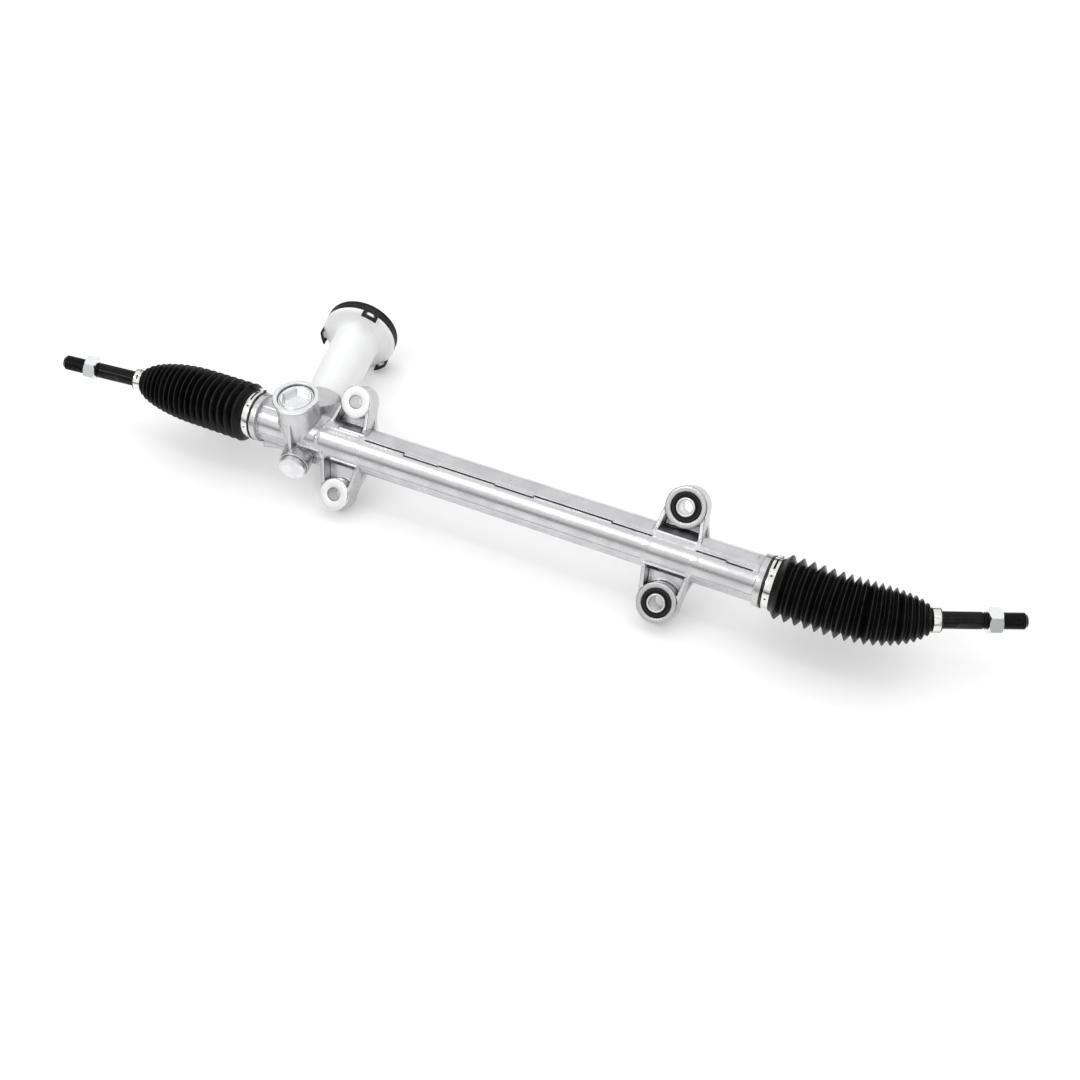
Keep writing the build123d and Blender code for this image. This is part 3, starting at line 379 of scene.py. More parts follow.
# ---- Shader node groups ----
def new_group(name, inputs, outputs):
    """An empty node group; inputs are defaults by name, outputs the names of numbers."""
    group = bpy.data.node_groups.new(name, "ShaderNodeTree")
    for label, default in inputs.items():
        kind = "NodeSocketVector" if isinstance(default, tuple) else "NodeSocketFloat"
        socket = group.interface.new_socket(name=label, in_out="INPUT", socket_type=kind)
        socket.default_value = default
    for label in outputs:
        group.interface.new_socket(name=label, in_out="OUTPUT", socket_type="NodeSocketFloat")
    return group, group.nodes.new("NodeGroupInput"), group.nodes.new("NodeGroupOutput")


def feed(tree, value, socket):
    """Links a socket, or sets it to a number or a colour."""
    if isinstance(value, tuple):
        socket.default_value = (*value, 1.0)
    elif isinstance(value, (int, float)):
        socket.default_value = value
    else:
        tree.links.new(value, socket)


def noise(tree, vector, scale, detail=4.0, roughness=0.55):
    """A noise texture; vector is a socket, scale a socket or a number."""
    node = tree.nodes.new("ShaderNodeTexNoise")
    node.inputs["Detail"].default_value = detail
    node.inputs["Roughness"].default_value = roughness
    tree.links.new(vector, node.inputs["Vector"])
    feed(tree, scale, node.inputs["Scale"])
    return node.outputs["Fac"]


def ramp(tree, value, low, high, out_low=0.0, out_high=1.0):
    """A smooth range from low to high."""
    node = tree.nodes.new("ShaderNodeMapRange")
    node.interpolation_type = "SMOOTHSTEP"
    limits = {"From Min": low, "From Max": high, "To Min": out_low, "To Max": out_high}
    for label, limit in limits.items():
        node.inputs[label].default_value = limit
    tree.links.new(value, node.inputs["Value"])
    return node.outputs["Result"]


def math_node(tree, operation, *values):
    """A maths node; values are sockets or numbers."""
    node = tree.nodes.new("ShaderNodeMath")
    node.operation = operation
    for index, value in enumerate(values):
        feed(tree, value, node.inputs[index])
    return node.outputs[0]


def mix_color(tree, mask, first, second):
    """A colour mix; first and second are sockets or colours."""
    node = tree.nodes.new("ShaderNodeMix")
    node.data_type = "RGBA"
    tree.links.new(mask, node.inputs["Factor"])
    feed(tree, first, node.inputs["A"])
    feed(tree, second, node.inputs["B"])
    return node.outputs["Result"]


def grain_group():
    """Fine cast grain with slow mottling: gives a height, a mottle and a speck mask."""
    group, entry, leave = new_group(
        "surface_grain",
        {"Vector": (0, 0, 0), "Grain": 1500.0, "Mottle": 60.0, "Speck": 420.0},
        ("Height", "Mottle", "Speck"),
    )
    fine = noise(group, entry.outputs["Vector"], entry.outputs["Grain"], 6.0, 0.6)
    slow = noise(group, entry.outputs["Vector"], entry.outputs["Mottle"], 5.0, 0.6)
    speck = noise(group, entry.outputs["Vector"], entry.outputs["Speck"], 2.0, 0.5)
    group.links.new(fine, leave.inputs["Height"])
    group.links.new(ramp(group, slow, 0.3, 0.7), leave.inputs["Mottle"])
    group.links.new(ramp(group, speck, 0.72, 0.78), leave.inputs["Speck"])
    return group


def wear_group():
    """Edges that stand out, and hollows and creases that take painted shade, both as masks."""
    inputs = {"Vector": (0, 0, 0), "Breakup": 300.0}
    group, entry, leave = new_group("edge_and_hollow", inputs, ("Edge", "HollowShade"))
    geometry = group.nodes.new("ShaderNodeNewGeometry")
    uneven = noise(group, entry.outputs["Vector"], entry.outputs["Breakup"], 3.0)
    raised = ramp(group, geometry.outputs["Pointiness"], 0.53, 0.6)
    sunk = ramp(group, geometry.outputs["Pointiness"], 0.485, 0.42)
    # ambient occlusion at two reaches spreads the hollow mask into nooks and creases for painted shade
    for reach, clear, shut in ((NOOK_REACH, 0.7, 0.15), (CREASE_REACH, 0.9, 0.55)):
        nook = group.nodes.new("ShaderNodeAmbientOcclusion")
        nook.samples = 6
        nook.inputs["Distance"].default_value = reach * MM
        sunk = math_node(group, "MAXIMUM", sunk, ramp(group, nook.outputs["AO"], clear, shut))
    group.links.new(math_node(group, "MULTIPLY", raised, ramp(group, uneven, 0.3, 0.6)), leave.inputs["Edge"])
    group.links.new(sunk, leave.inputs["HollowShade"])
    return group


def turning_group():
    """Fine rings left by a lathe or a facing cutter, about an axis through a place."""
    inputs = {"Vector": (0, 0, 0), "Place": (0, 0, 0), "Density": 2500.0}
    group, entry, leave = new_group("turning_rings", inputs, ("Height",))
    offset = group.nodes.new("ShaderNodeVectorMath")
    offset.operation = "DISTANCE"
    group.links.new(entry.outputs["Vector"], offset.inputs[0])
    group.links.new(entry.outputs["Place"], offset.inputs[1])
    phase = math_node(group, "MULTIPLY", offset.outputs["Value"], entry.outputs["Density"])
    group.links.new(math_node(group, "SINE", phase), leave.inputs["Height"])
    return group


GROUPS = {}


def use_group(tree, name, vector, **values):
    """Places a named group in a material, with its own values; gives its outputs by name."""
    node = tree.nodes.new("ShaderNodeGroup")
    node.node_tree = GROUPS[name]
    tree.links.new(vector, node.inputs["Vector"])
    for label, value in values.items():
        node.inputs[label].default_value = value
    return dict(node.outputs.items())


def grey(level):
    """A neutral colour."""
    return (level, level, level)


def base_material(name, color, roughness, metallic=0.0):
    """A material with its Principled shader."""
    material = bpy.data.materials.new(name)
    material.use_nodes = True
    tree = material.node_tree
    shader = tree.nodes["Principled BSDF"]
    shader.inputs["Base Color"].default_value = (*color, 1.0)
    shader.inputs["Roughness"].default_value = roughness
    shader.inputs["Metallic"].default_value = metallic
    return material, tree, shader


def add_bump(tree, shader, height, strength, distance):
    """Bump from a height in shares of a distance in millimetres."""
    node = tree.nodes.new("ShaderNodeBump")
    node.inputs["Strength"].default_value = strength
    node.inputs["Distance"].default_value = distance * MM
    tree.links.new(height, node.inputs["Height"])
    tree.links.new(node.outputs["Normal"], shader.inputs["Normal"])


def mottled(name, color, base, scales, tones, tints, spread, bump, breakup=None, rings_at=None, extra=None):
    """A finish of two mottled tones, tinted in turn by masks, with grain or rings raised on it.

    base is (roughness, metallic) and scales are those of grain, mottle and specks; tints are (mask, colour),
    spread is the roughness over the mottle and bump (strength, distance). A breakup adds the masks of raised
    edges, worn on metal and a painted highlight on rubber, and of hollows that take painted shade; extra holds
    further values of the shader."""
    material, tree, shader = base_material(name, color, *base)
    place = tree.nodes.new("ShaderNodeTexCoord").outputs["Object"]
    grain, mottle, speck = scales
    masks = use_group(tree, "surface_grain", place, Grain=grain, Mottle=mottle, Speck=speck)
    if breakup:
        masks |= use_group(tree, "edge_and_hollow", place, Breakup=breakup)
    if rings_at:
        masks |= use_group(tree, "turning_rings", place, Place=rings_at, Density=RING_DENSITY)
    shade = mix_color(tree, masks["Mottle"], *tones)
    for mask, tint in tints:
        shade = mix_color(tree, masks[mask], shade, tint)
    tree.links.new(shade, shader.inputs["Base Color"])
    tree.links.new(ramp(tree, masks["Mottle"], 0.0, 1.0, *spread), shader.inputs["Roughness"])
    for label, value in (extra or {}).items():
        shader.inputs[label].default_value = value
    add_bump(tree, shader, masks["Height"], *bump)
    return material


def cast_aluminium():
    """Bright die casting: satin skin, faint mottle, dark specks, paler worn edges and painted shade in hollows and
    creases.
    """
    tones = ((0.56, 0.56, 0.57), (0.66, 0.66, 0.67))
    # the dark hollow tint is painted shade in recesses and creases
    tints = (("HollowShade", (0.13, 0.13, 0.135)), ("Edge", (0.86, 0.86, 0.87)), ("Speck", (0.3, 0.3, 0.31)))
    return mottled("cast_aluminium", (0.7, 0.7, 0.71), (0.3, 1.0), (1100.0, 40.0, 330.0), tones, tints,
                   (0.31, 0.26), (0.12, 0.06), breakup=260.0)


def machined_aluminium(name, place_at, tone):
    """Faced aluminium with fine rings about a place."""
    tones = ((0.93 * tone, 0.93 * tone, 0.94 * tone), grey(tone))
    return mottled(name, grey(tone), (0.26, 1.0), (1500.0, 120.0, 500.0), tones, (),
                   (0.34, 0.22), (0.15, 0.03), rings_at=tuple(place_at))


def plain_metal(name, dark, light, roughness, hollow=0.55):
    """A rigid metal finish between two tones, with fine grain and painted shade in its hollows."""
    # hollow scales the dark tone down into painted shade in recesses
    tints = (("HollowShade", tuple(hollow * part for part in dark)),)
    spread = (roughness + 0.06, max(roughness - 0.06, 0.05))
    return mottled(name, light, (roughness, 1.0), (900.0, 110.0, 600.0), (dark, light), tints,
                   spread, (0.1, 0.06), breakup=500.0)


def black_steel():
    """Black phosphated and oiled steel, paler where an edge is rubbed."""
    tones = (grey(0.002), grey(0.006))
    tints = (("Edge", (0.09, 0.09, 0.093)),)
    return mottled("black_steel", grey(0.004), (0.22, 0.0), (900.0, 150.0, 700.0), tones, tints,
                   (0.13, 0.07), (0.08, 0.04), breakup=700.0, extra={"Specular IOR Level": 0.16})


def rubber(name, dark, light, crest, roughness):
    """Moulded rubber with a fine skin, slightly dusty patches and a painted highlight on its crests and edges."""
    spread = (roughness - 0.05, roughness + 0.07)
    # the crest tone over raised edges is a painted highlight
    tints = (("Edge", crest),)
    return mottled(name, dark, (roughness, 0.0), (1300.0, 70.0, 900.0), (dark, light), tints,
                   spread, (0.18, 0.08), breakup=200.0, extra={"Specular IOR Level": 0.2})


def plastic(name, dark, light, roughness, subsurface=0.0):
    """Moulded plastic, slightly uneven in tone."""
    spread = (roughness + 0.05, roughness - 0.04)
    extra = {}
    if subsurface:
        extra = {"Subsurface Weight": subsurface, "Subsurface Scale": 1.0}
        extra["Subsurface Radius"] = (0.004, 0.004, 0.0038)
    return mottled(name, light, (roughness, 0.0), (700.0, 25.0, 300.0), (dark, light), (),
                   spread, (0.06, 0.06), extra=extra)


def make_materials(places):
    """Every finish of the gear, by name."""
    GROUPS["surface_grain"] = grain_group()
    GROUPS["edge_and_hollow"] = wear_group()
    GROUPS["turning_rings"] = turning_group()
    metals = {
        "turned_aluminium": ((0.74, 0.74, 0.75), (0.84, 0.84, 0.85), 0.34),
        "bright_steel": (grey(0.6), grey(0.74), 0.25),
        "ground_steel": ((0.48, 0.48, 0.49), (0.58, 0.58, 0.59), 0.24),
        "bearing_steel": ((0.58, 0.58, 0.59), (0.66, 0.66, 0.67), 0.16),
        "spring_steel": ((0.24, 0.24, 0.25), (0.34, 0.34, 0.35), 0.35),
        "zinc_plate": ((0.88, 0.89, 0.9), (0.93, 0.94, 0.95), 0.18, 0.8),
        "clamp_steel": ((0.8, 0.79, 0.77), (0.88, 0.87, 0.85), 0.15),
    }
    finishes = {label: plain_metal(label, *values) for label, values in metals.items()}
    finishes["cast_aluminium"] = cast_aluminium()
    finishes["black_steel"] = black_steel()
    # the third grey of each rubber is the painted highlight on its crests and edges
    finishes["black_rubber"] = rubber("black_rubber", grey(0.01), grey(0.018), grey(0.04), 0.5)
    finishes["bellows_rubber"] = rubber("bellows_rubber", grey(0.002), grey(0.004), grey(0.11), 0.32)
    white = ((0.88, 0.885, 0.885), (0.93, 0.93, 0.928))
    finishes["white_plastic"] = plastic("white_plastic", *white, 0.36, 0.25)
    finishes["acetal"] = plastic("acetal", (0.72, 0.71, 0.66), (0.8, 0.79, 0.75), 0.4)
    for label, spot in places.items():
        tone = RIGHT_FACE_TONE if label.startswith("right") else LEFT_FACE_TONE
        finishes[f"faced_{label}"] = machined_aluminium(f"faced_{label}", spot, tone)
    return finishes


def paint(piece, material):
    """One finish over a whole piece."""
    piece.data.materials.clear()
    piece.data.materials.append(material)


# ---- Housing ----
def cut_away(piece, cutter, solver):
    """Takes a cutter out of a piece and removes the cutter."""
    add_modifier(piece, "BOOLEAN", operation="DIFFERENCE", solver=solver, object=cutter)
    apply_modifiers(piece)
    bpy.data.objects.remove(cutter)


TUBE_FRAME = axis_frame(Vector((0, 0, 0)), (1, 0, 0))


def parting_cutter(bolt_lean):
    """Bars along the stepped parting edge, joined where it jogs."""
    radii = (TUBE_RADIUS - PARTING_DEPTH, TUBE_RADIUS + 3.0)
    bars = []
    for index, (start, end, angle) in enumerate(PARTING_JOGS):
        low = bolt_lean + angle
        span = (low, low + PARTING_GAP)
        bars.append(curved_block(f"parting_{index}", TUBE_FRAME, radii, span, (start, end), 2, False))
        previous = PARTING_JOGS[index - 1]
        if index and previous[1] == start:
            turns = sorted((low, bolt_lean + previous[2]))
            span = (turns[0], turns[1] + PARTING_GAP)
            reach = (start - 0.5, start + 0.5)
            bars.append(curved_block(f"parting_jog_{index}", TUBE_FRAME, radii, span, reach, 2, False))
    return join("parting_cutter", bars)


def dress_housing(bolt_lean, finishes):
    """The casting, with soft fillets where its walls meet and an open parting gap whose walls are painted black as
    painted shade.
    """
    piece = add_object("housing_casting", frame["nodes"]["rack_housing"].data.copy())
    half = math.degrees(BAR_HALF_WIDTH / TUBE_RADIUS)
    bars = [
        curved_block(f"tube_bar_{index}", TUBE_FRAME, (TUBE_RADIUS - 1.5, TUBE_RADIUS + height),
                     (angle - half, angle + half), (start, end), 3, False)
        for index, (start, end, angle, height) in enumerate(TUBE_BARS)
    ]
    trims = [
        curved_block(f"rib_trim_{index}", TUBE_FRAME, (TUBE_RADIUS + 0.1, TUBE_RADIUS + 5.0), RIB_FREE,
                     (place - RIB_REACH, place + RIB_REACH), 24, False)
        for index, place in enumerate(RIB_ENDS)
    ]
    cut_away(piece, join("rib_trims", trims), "EXACT")
    piece = join("housing_casting", [piece] + bars)
    add_modifier(piece, "REMESH", mode="VOXEL", voxel_size=SKIN_GRID * MM)
    add_modifier(piece, "SMOOTH", factor=0.5, iterations=SKIN_ROUNDS)
    add_modifier(piece, "DECIMATE", ratio=SKIN_SHARE)
    add_modifier(piece, "SMOOTH", factor=0.5, iterations=SKIN_ROUNDS)
    apply_modifiers(piece)
    paint(piece, finishes["cast_aluminium"])
    cutter = parting_cutter(bolt_lean)
    # the cutter's black finish goes onto the walls of the gap it cuts: painted shade along the parting line
    paint(cutter, finishes["black_steel"])
    cut_away(piece, cutter, "MANIFOLD")
    shade_smooth(piece.data)
    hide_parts("rack_housing")
    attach(piece, "housing")


def make_lug_faces(lug_places, bolt_direction, finishes):
    """Faced front of each lug, with a chamfered bore in the left pair."""
    for label, place, radius, bore in lug_places:
        matrix = axis_frame(place, bolt_direction)
        top = LUG_FACE + 0.12
        corners = [
            (bore + 0.1, top - 3.0), (bore + 0.1, top - 0.7), (bore + 0.7, top), (radius - 0.6, top),
            (radius + 0.3, top - 0.9), (radius + 0.3, top - 3.0),
        ]
        piece = lathe(f"{label}_face", rounded_profile(corners, 0.2, 2), matrix)
        finish_piece(piece, finishes, "cast_aluminium", "housing", look=f"faced_{label}")


def make_bushes(lug_places, bolt_direction, finishes):
    """Rubber bushes with a rolled lip, and their chamfered steel sleeves, in the right lugs."""
    for label, place, *_ in lug_places:
        side, row, _ = label.split("_")
        if side != "right":
            continue
        matrix = axis_frame(place, bolt_direction)
        high = LUG_FACE - BUSH_INSET
        corners = [
            (SLEEVE_RADIUS, -high), (BUSH_RADIUS, -high), (BUSH_RADIUS, high),
            (BUSH_RADIUS - 1.0, high + 0.5), (SLEEVE_RADIUS + 2.2, high + 0.5),
            (SLEEVE_RADIUS + 1.2, high - 0.6), (SLEEVE_RADIUS, high - 0.6),
        ]
        rubber_ring = lathe(f"{row}_bush_ring", rounded_profile(corners, 0.6), matrix)
        finish_piece(rubber_ring, finishes, "black_rubber", "housing", f"{row}_bush_rubber")
        corners = [
            (BOLT_RADIUS, -SLEEVE_HALF), (SLEEVE_RADIUS, -SLEEVE_HALF),
            (SLEEVE_RADIUS, SLEEVE_HALF - 0.6), (SLEEVE_RADIUS - 0.5, SLEEVE_HALF),
            (BOLT_RADIUS + 0.6, SLEEVE_HALF), (BOLT_RADIUS, SLEEVE_HALF - 0.6),
        ]
        sleeve = lathe(f"{row}_bush_tube", rounded_profile(corners, 0.15, 2), matrix)
        finish_piece(sleeve, finishes, "bright_steel", "housing", f"{row}_bush_sleeve")


def hexagon_reach(apothem, angle):
    """Distance to the side of a hexagon at an angle, with a corner on x."""
    turn = math.degrees(angle) % 60 - 30
    return apothem / math.cos(math.radians(turn))


def make_tower_rim(matrix, top, finishes):
    """Faced rim of the yoke tower, just clear of the plug."""
    corners = [
        (PLUG_RADIUS + 0.1, top - 3.2), (PLUG_RADIUS + 0.1, top - 0.9), (PLUG_RADIUS + 0.9, top + 0.1),
        (TOWER_RIM_RADIUS - 0.5, top + 0.1), (TOWER_RIM_RADIUS + 0.3, top - 0.7),
        (TOWER_RIM_RADIUS + 0.3, top - 3.2),
    ]
    rim = lathe("tower_rim_face", rounded_profile(corners, 0.25, 2), matrix, 128)
    finish_piece(rim, finishes, "cast_aluminium", "housing", look="faced_tower")


def make_plug(matrix, top, finishes):
    """Plug of the yoke tower with a stepped rim and a hexagon recess."""
    apothem = PLUG_HEXAGON / 2
    floor = top - PLUG_RECESS
    step_top = top - PLUG_STEP

    def recess(radius, height, angle):
        if 1.0 < radius <= apothem + 0.6 and height > floor - 0.1:
            return hexagon_reach(radius, angle)
        return radius

    profile = [
        (0.01, floor), (apothem - 0.4, floor), (apothem, floor + 0.4), (apothem, top - 0.5),
        (apothem + 0.5, top), (apothem + 2.9, top),
        (PLUG_STEP_RADIUS - 0.5, top), (PLUG_STEP_RADIUS, top - 0.5),
        (PLUG_STEP_RADIUS, step_top + 0.2), (PLUG_STEP_RADIUS + 0.2, step_top), (PLUG_RADIUS - 0.6, step_top),
        (PLUG_RADIUS - 0.05, step_top - 0.6), (PLUG_RADIUS - 0.05, top - PLUG_BASE), (0.01, top - PLUG_BASE),
    ]
    plug = lathe("plug_body", profile, matrix, 120, closed=False, shape=recess)
    finish_piece(plug, finishes, "zinc_plate", "housing", "yoke_plug")


def make_cap(matrix, finishes):
    """Turned cap over the foot of the pinion, slightly dished."""
    corners = [
        (0.01, -CAP_BACK), (CAP_RADIUS, -CAP_BACK), (CAP_RADIUS, -CAP_FRONT + 0.8),
        (CAP_RADIUS - 0.9, -CAP_FRONT + 0.02), (CAP_RADIUS - 2.2, -CAP_FRONT + 0.02),
        (CAP_RADIUS - 3.0, -CAP_FRONT + 0.35), (0.01, -CAP_FRONT + 0.5),
    ]
    cap = lathe("cap_disc", corners[::-1], matrix, closed=False)
    finish_piece(cap, finishes, "turned_aluminium", "housing", "bottom_cap")


# ---- Dust cover and its seal ----
def make_dust_cover(matrix, finishes):
    """Moulded cover: slightly conical neck, trumpet flare, flange and three pegs for the seal."""
    flange, rim = COVER_FLANGE_RADIUS, COVER_END - COVER_RIM
    outer = [(COVER_NECK_RADIUS, COVER_START + 0.6), (COVER_NECK_RADIUS + 0.4, COVER_START + 20.0)]
    before = Vector((COVER_FLARE_RADIUS - 0.1, COVER_FLARE_START + 2.0))
    bend = Vector((COVER_FLARE_RADIUS + 0.5, COVER_FLARE_START + 6.8))
    after = Vector((flange - 2.5, rim - 1.6))
    outer += [tuple(curve_point(before, bend, after, step / 8)) for step in range(9)]
    outer += [(flange - 0.6, rim - 0.4), (flange, rim + 0.3)]
    outer += [(flange, COVER_END - 0.3), (flange - 0.3, COVER_END)]
    inner = [(flange - COVER_WALL, COVER_END)]
    inner += [(radius - COVER_WALL, height + 0.9) for radius, height in outer[-6:0:-1]]
    inner.append((COVER_NECK_RADIUS - COVER_WALL, COVER_START + 0.2))
    neck = [(COVER_NECK_RADIUS - 0.4, COVER_START)]
    shell = lathe("cover_shell", outer + inner + neck, matrix, 128)
    heights = (TAB_START + PEG_SPAN[0], TAB_START + PEG_SPAN[1])
    pegs = [
        curved_block(f"cover_peg_{index}", matrix, (flange - 1.0, flange + 1.6),
                     (angle - PEG_HALF_ANGLE, angle + PEG_HALF_ANGLE), heights, 6)
        for index, angle in enumerate(TAB_ANGLES)
    ]
    cover = join("cover_moulding", [shell] + pegs)
    finish_piece(cover, finishes, "white_plastic", "housing", "dust_cover")


def make_cover_seal(matrix, finishes):
    """Rubber ring on the flange, held by three window tabs."""
    outer = COVER_FLANGE_RADIUS
    corners = [
        (outer - SEAL_WALL, SEAL_START), (outer, SEAL_START), (outer, SEAL_START + 5.0),
        (outer - 0.9, SEAL_START + 6.0), (outer - 0.9, SEAL_END - 3.0), (outer - 0.2, SEAL_END - 2.0),
        (outer - 0.8, SEAL_END), (outer - SEAL_WALL, SEAL_END),
    ]
    pieces = [lathe("seal_ring", rounded_profile(corners, 0.6), matrix, 128)]
    radii = (outer + 0.15, outer + 1.65)
    low, high = TAB_START, SEAL_START + 3.0
    for index, angle in enumerate(TAB_ANGLES):
        for side in (-1, 1):
            edges = sorted((angle + side * TAB_WINDOW, angle + side * TAB_HALF_ANGLE))
            pieces.append(curved_block(f"tab_{index}_{side}", matrix, radii, edges, (low, high), 4))
        whole = (angle - TAB_HALF_ANGLE, angle + TAB_HALF_ANGLE)
        for label, span in (("low", (low, low + TAB_FOOT)), ("high", (low + TAB_HEAD, high + 3.0))):
            pieces.append(curved_block(f"tab_{index}_{label}", matrix, radii, whole, span, 8))
    seal = join("seal_with_tabs", pieces)
    finish_piece(seal, finishes, "black_rubber", "housing", "dust_cover_seal")


# ---- Bellows and clamps ----
def fold_peak(share, dome_end):
    """Outer radius of the folds at a share of the bellows' length."""
    if share < DOME_START:
        return FOLD_RADIUS - FOLD_SLOPE * share
    drop = min((share - DOME_START) / (dome_end - DOME_START), 1.0)
    dome = FOLD_RADIUS - FOLD_SLOPE * DOME_START - SMALL_CUFF_RADIUS
    return SMALL_CUFF_RADIUS + dome * (1 - drop**DOME_FULLNESS) ** (1 / DOME_FULLNESS)


def fold_depth(share):
    """Depth of a fold at a share of the bellows' length."""
    late = max(0.0, share - DOME_START) / (1 - DOME_START)
    return FOLD_DEPTH * (1 - (1 - FOLD_END_DEPTH) * late)


def fold_crest(phase):
    """How far out a fold is at a phase from valley (0) over the crest (0.5) to the next valley (1)."""
    blunt = math.hypot(2 * phase - 1, FOLD_SHARPNESS)
    return (math.hypot(1, FOLD_SHARPNESS) - blunt) / (math.hypot(1, FOLD_SHARPNESS) - FOLD_SHARPNESS)


def bellows_profile(length):
    """(radius, distance, is valley) along the outside of a bellows, with the bores of both cuffs."""
    lip = CUFF_RADIUS + CUFF_LIP
    outer = [(CUFF_BORE, 8.0), (CUFF_BORE, 0.3), (CUFF_RADIUS - 0.6, 0.2), (lip - 0.3, 0.2), (lip, 0.5)]
    outer += [(lip, 1.8), (lip - 0.3, 2.1), (CUFF_RADIUS, 2.2), (CUFF_RADIUS, 5.6), (CUFF_RADIUS, 9.3)]
    outer += [(lip - 0.4, 9.6), (lip, 10.1)]
    profile = [(radius, distance, False) for radius, distance in outer]
    fold_start = CUFF_LENGTH - 0.6
    fold_end = length - SMALL_CUFF_LENGTH
    dome_end = fold_end / length
    for fold in range(FOLD_COUNT):
        for phase in FOLD_PHASES:
            along = (fold + phase) / FOLD_COUNT
            crowded = along + FOLD_CROWDING * along * (1 - along)
            distance = fold_start + (fold_end - fold_start) * crowded
            share = distance / length
            crest = fold_crest(phase)
            peak = fold_peak(share, dome_end)
            valley = lip if fold == 0 and phase < 0.5 else peak - fold_depth(share)
            profile.append((max(valley + (peak - valley) * crest, SMALL_CUFF_RADIUS), distance, phase == 0.0))
    small = SMALL_CUFF_RADIUS
    ending = [(small, fold_end + 0.4), (small, length - 1.6), (small + 0.6, length - 1.2)]
    ending += [(small + 0.6, length - 0.4), (small, length)]
    ending += [(ROD_RADIUS + 0.15, length), (ROD_RADIUS + 0.15, length - 6.0)]
    return profile + [(radius, distance, False) for radius, distance in ending]


def bent_point(end_x, ball, outward, direction, cuff_to_ball, distance):
    """Point and tangent at a distance along the bent middle line of a bellows, in millimetres."""
    level = Vector((outward, 0, 0))
    start = Vector((end_x, 0, 0))
    bend_start = ball - level * BEND_LENGTH
    straight = (bend_start - start).length
    if distance <= straight:
        return start + level * distance, level
    stretch = cuff_to_ball - BEND_LENGTH
    step = (math.sqrt(BEND_LENGTH**2 + stretch * (distance - straight)) - BEND_LENGTH) / stretch
    finish = ball + direction * cuff_to_ball
    point = curve_point(bend_start, ball, finish, step)
    slope = (ball - bend_start) * (1 - step) + (finish - ball) * step
    return point, slope.normalized()


def bellows_span(name, rings, line):
    """Part of a bellows through some rings, along its bent middle line."""
    points = []
    for radius, distance in rings:
        centre, tangent = bent_point(*line, distance)
        side = Vector((0, 0, 1)).cross(tangent).normalized()
        up = tangent.cross(side)
        for index in range(BELLOWS_SEGMENTS):
            angle = 2 * math.pi * index / BELLOWS_SEGMENTS
            points.append((centre + (side * math.cos(angle) + up * math.sin(angle)) * radius) * MM)
    piece = mesh_object(name, points, ring_faces(len(rings), BELLOWS_SEGMENTS, False))
    face_outwards(piece, line)
    return piece


def face_outwards(piece, line):
    """Turns a sleeve's faces away from the middle line."""
    polygon = piece.data.polygons[len(piece.data.polygons) // 2]
    ball, outward, direction = line[1] * MM, line[2], line[3]
    axis_point = Vector((polygon.center.x, ball.y, ball.z))
    if outward * (polygon.center.x - ball.x) > 0:
        axis_point = ball + direction * (polygon.center - ball).dot(direction)
    if polygon.normal.dot(polygon.center - axis_point) < 0:
        piece.data.flip_normals()


def make_bellows(side, line, finishes):
    """Folds in three spans, cut at valleys and named for sliding with the rack, turning with the seat and tilting
    with the rod; no span is attached to a body.
    """
    end_x, ball = line[:2]
    length = abs(ball.x - end_x) + line[4]
    profile = bellows_profile(length)
    valleys = [index for index, ring in enumerate(profile) if ring[2]]
    cuts = [
        min(valleys, key=lambda index: abs(profile[index][1] - wanted))
        for wanted in (SLIDE_BLEND[1], YAW_BLEND_END)
    ]
    seams = [profile[index][1] for index in cuts]
    spans = (
        ("slide", 0, cuts[0], "housing", "rack", SLIDE_BLEND[0], seams[0]),
        ("yaw", cuts[0], cuts[1], "rack", f"{side}_seat", seams[0], seams[1]),
        ("pitch", cuts[1], len(profile) - 1, f"{side}_seat", f"{side}_rod", seams[1], PITCH_BLEND_END),
    )
    for label, first, last, body, next_body, start, end in spans:
        rings = [ring[:2] for ring in profile[first:last + 1]]
        piece = bellows_span(f"{side}_bellows_{label}", rings, line)
        paint(piece, finishes["bellows_rubber"])
        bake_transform(piece)
        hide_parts(f"{side}_bellows")


def clamp_ring(name, matrix, inner, outer, half, rounding, segments):
    """Plain band of a clamp, with its edges rounded."""
    corners = [(inner, -half), (outer, -half), (outer, half), (inner, half)]
    return lathe(name, rounded_profile(corners, rounding), matrix, segments)


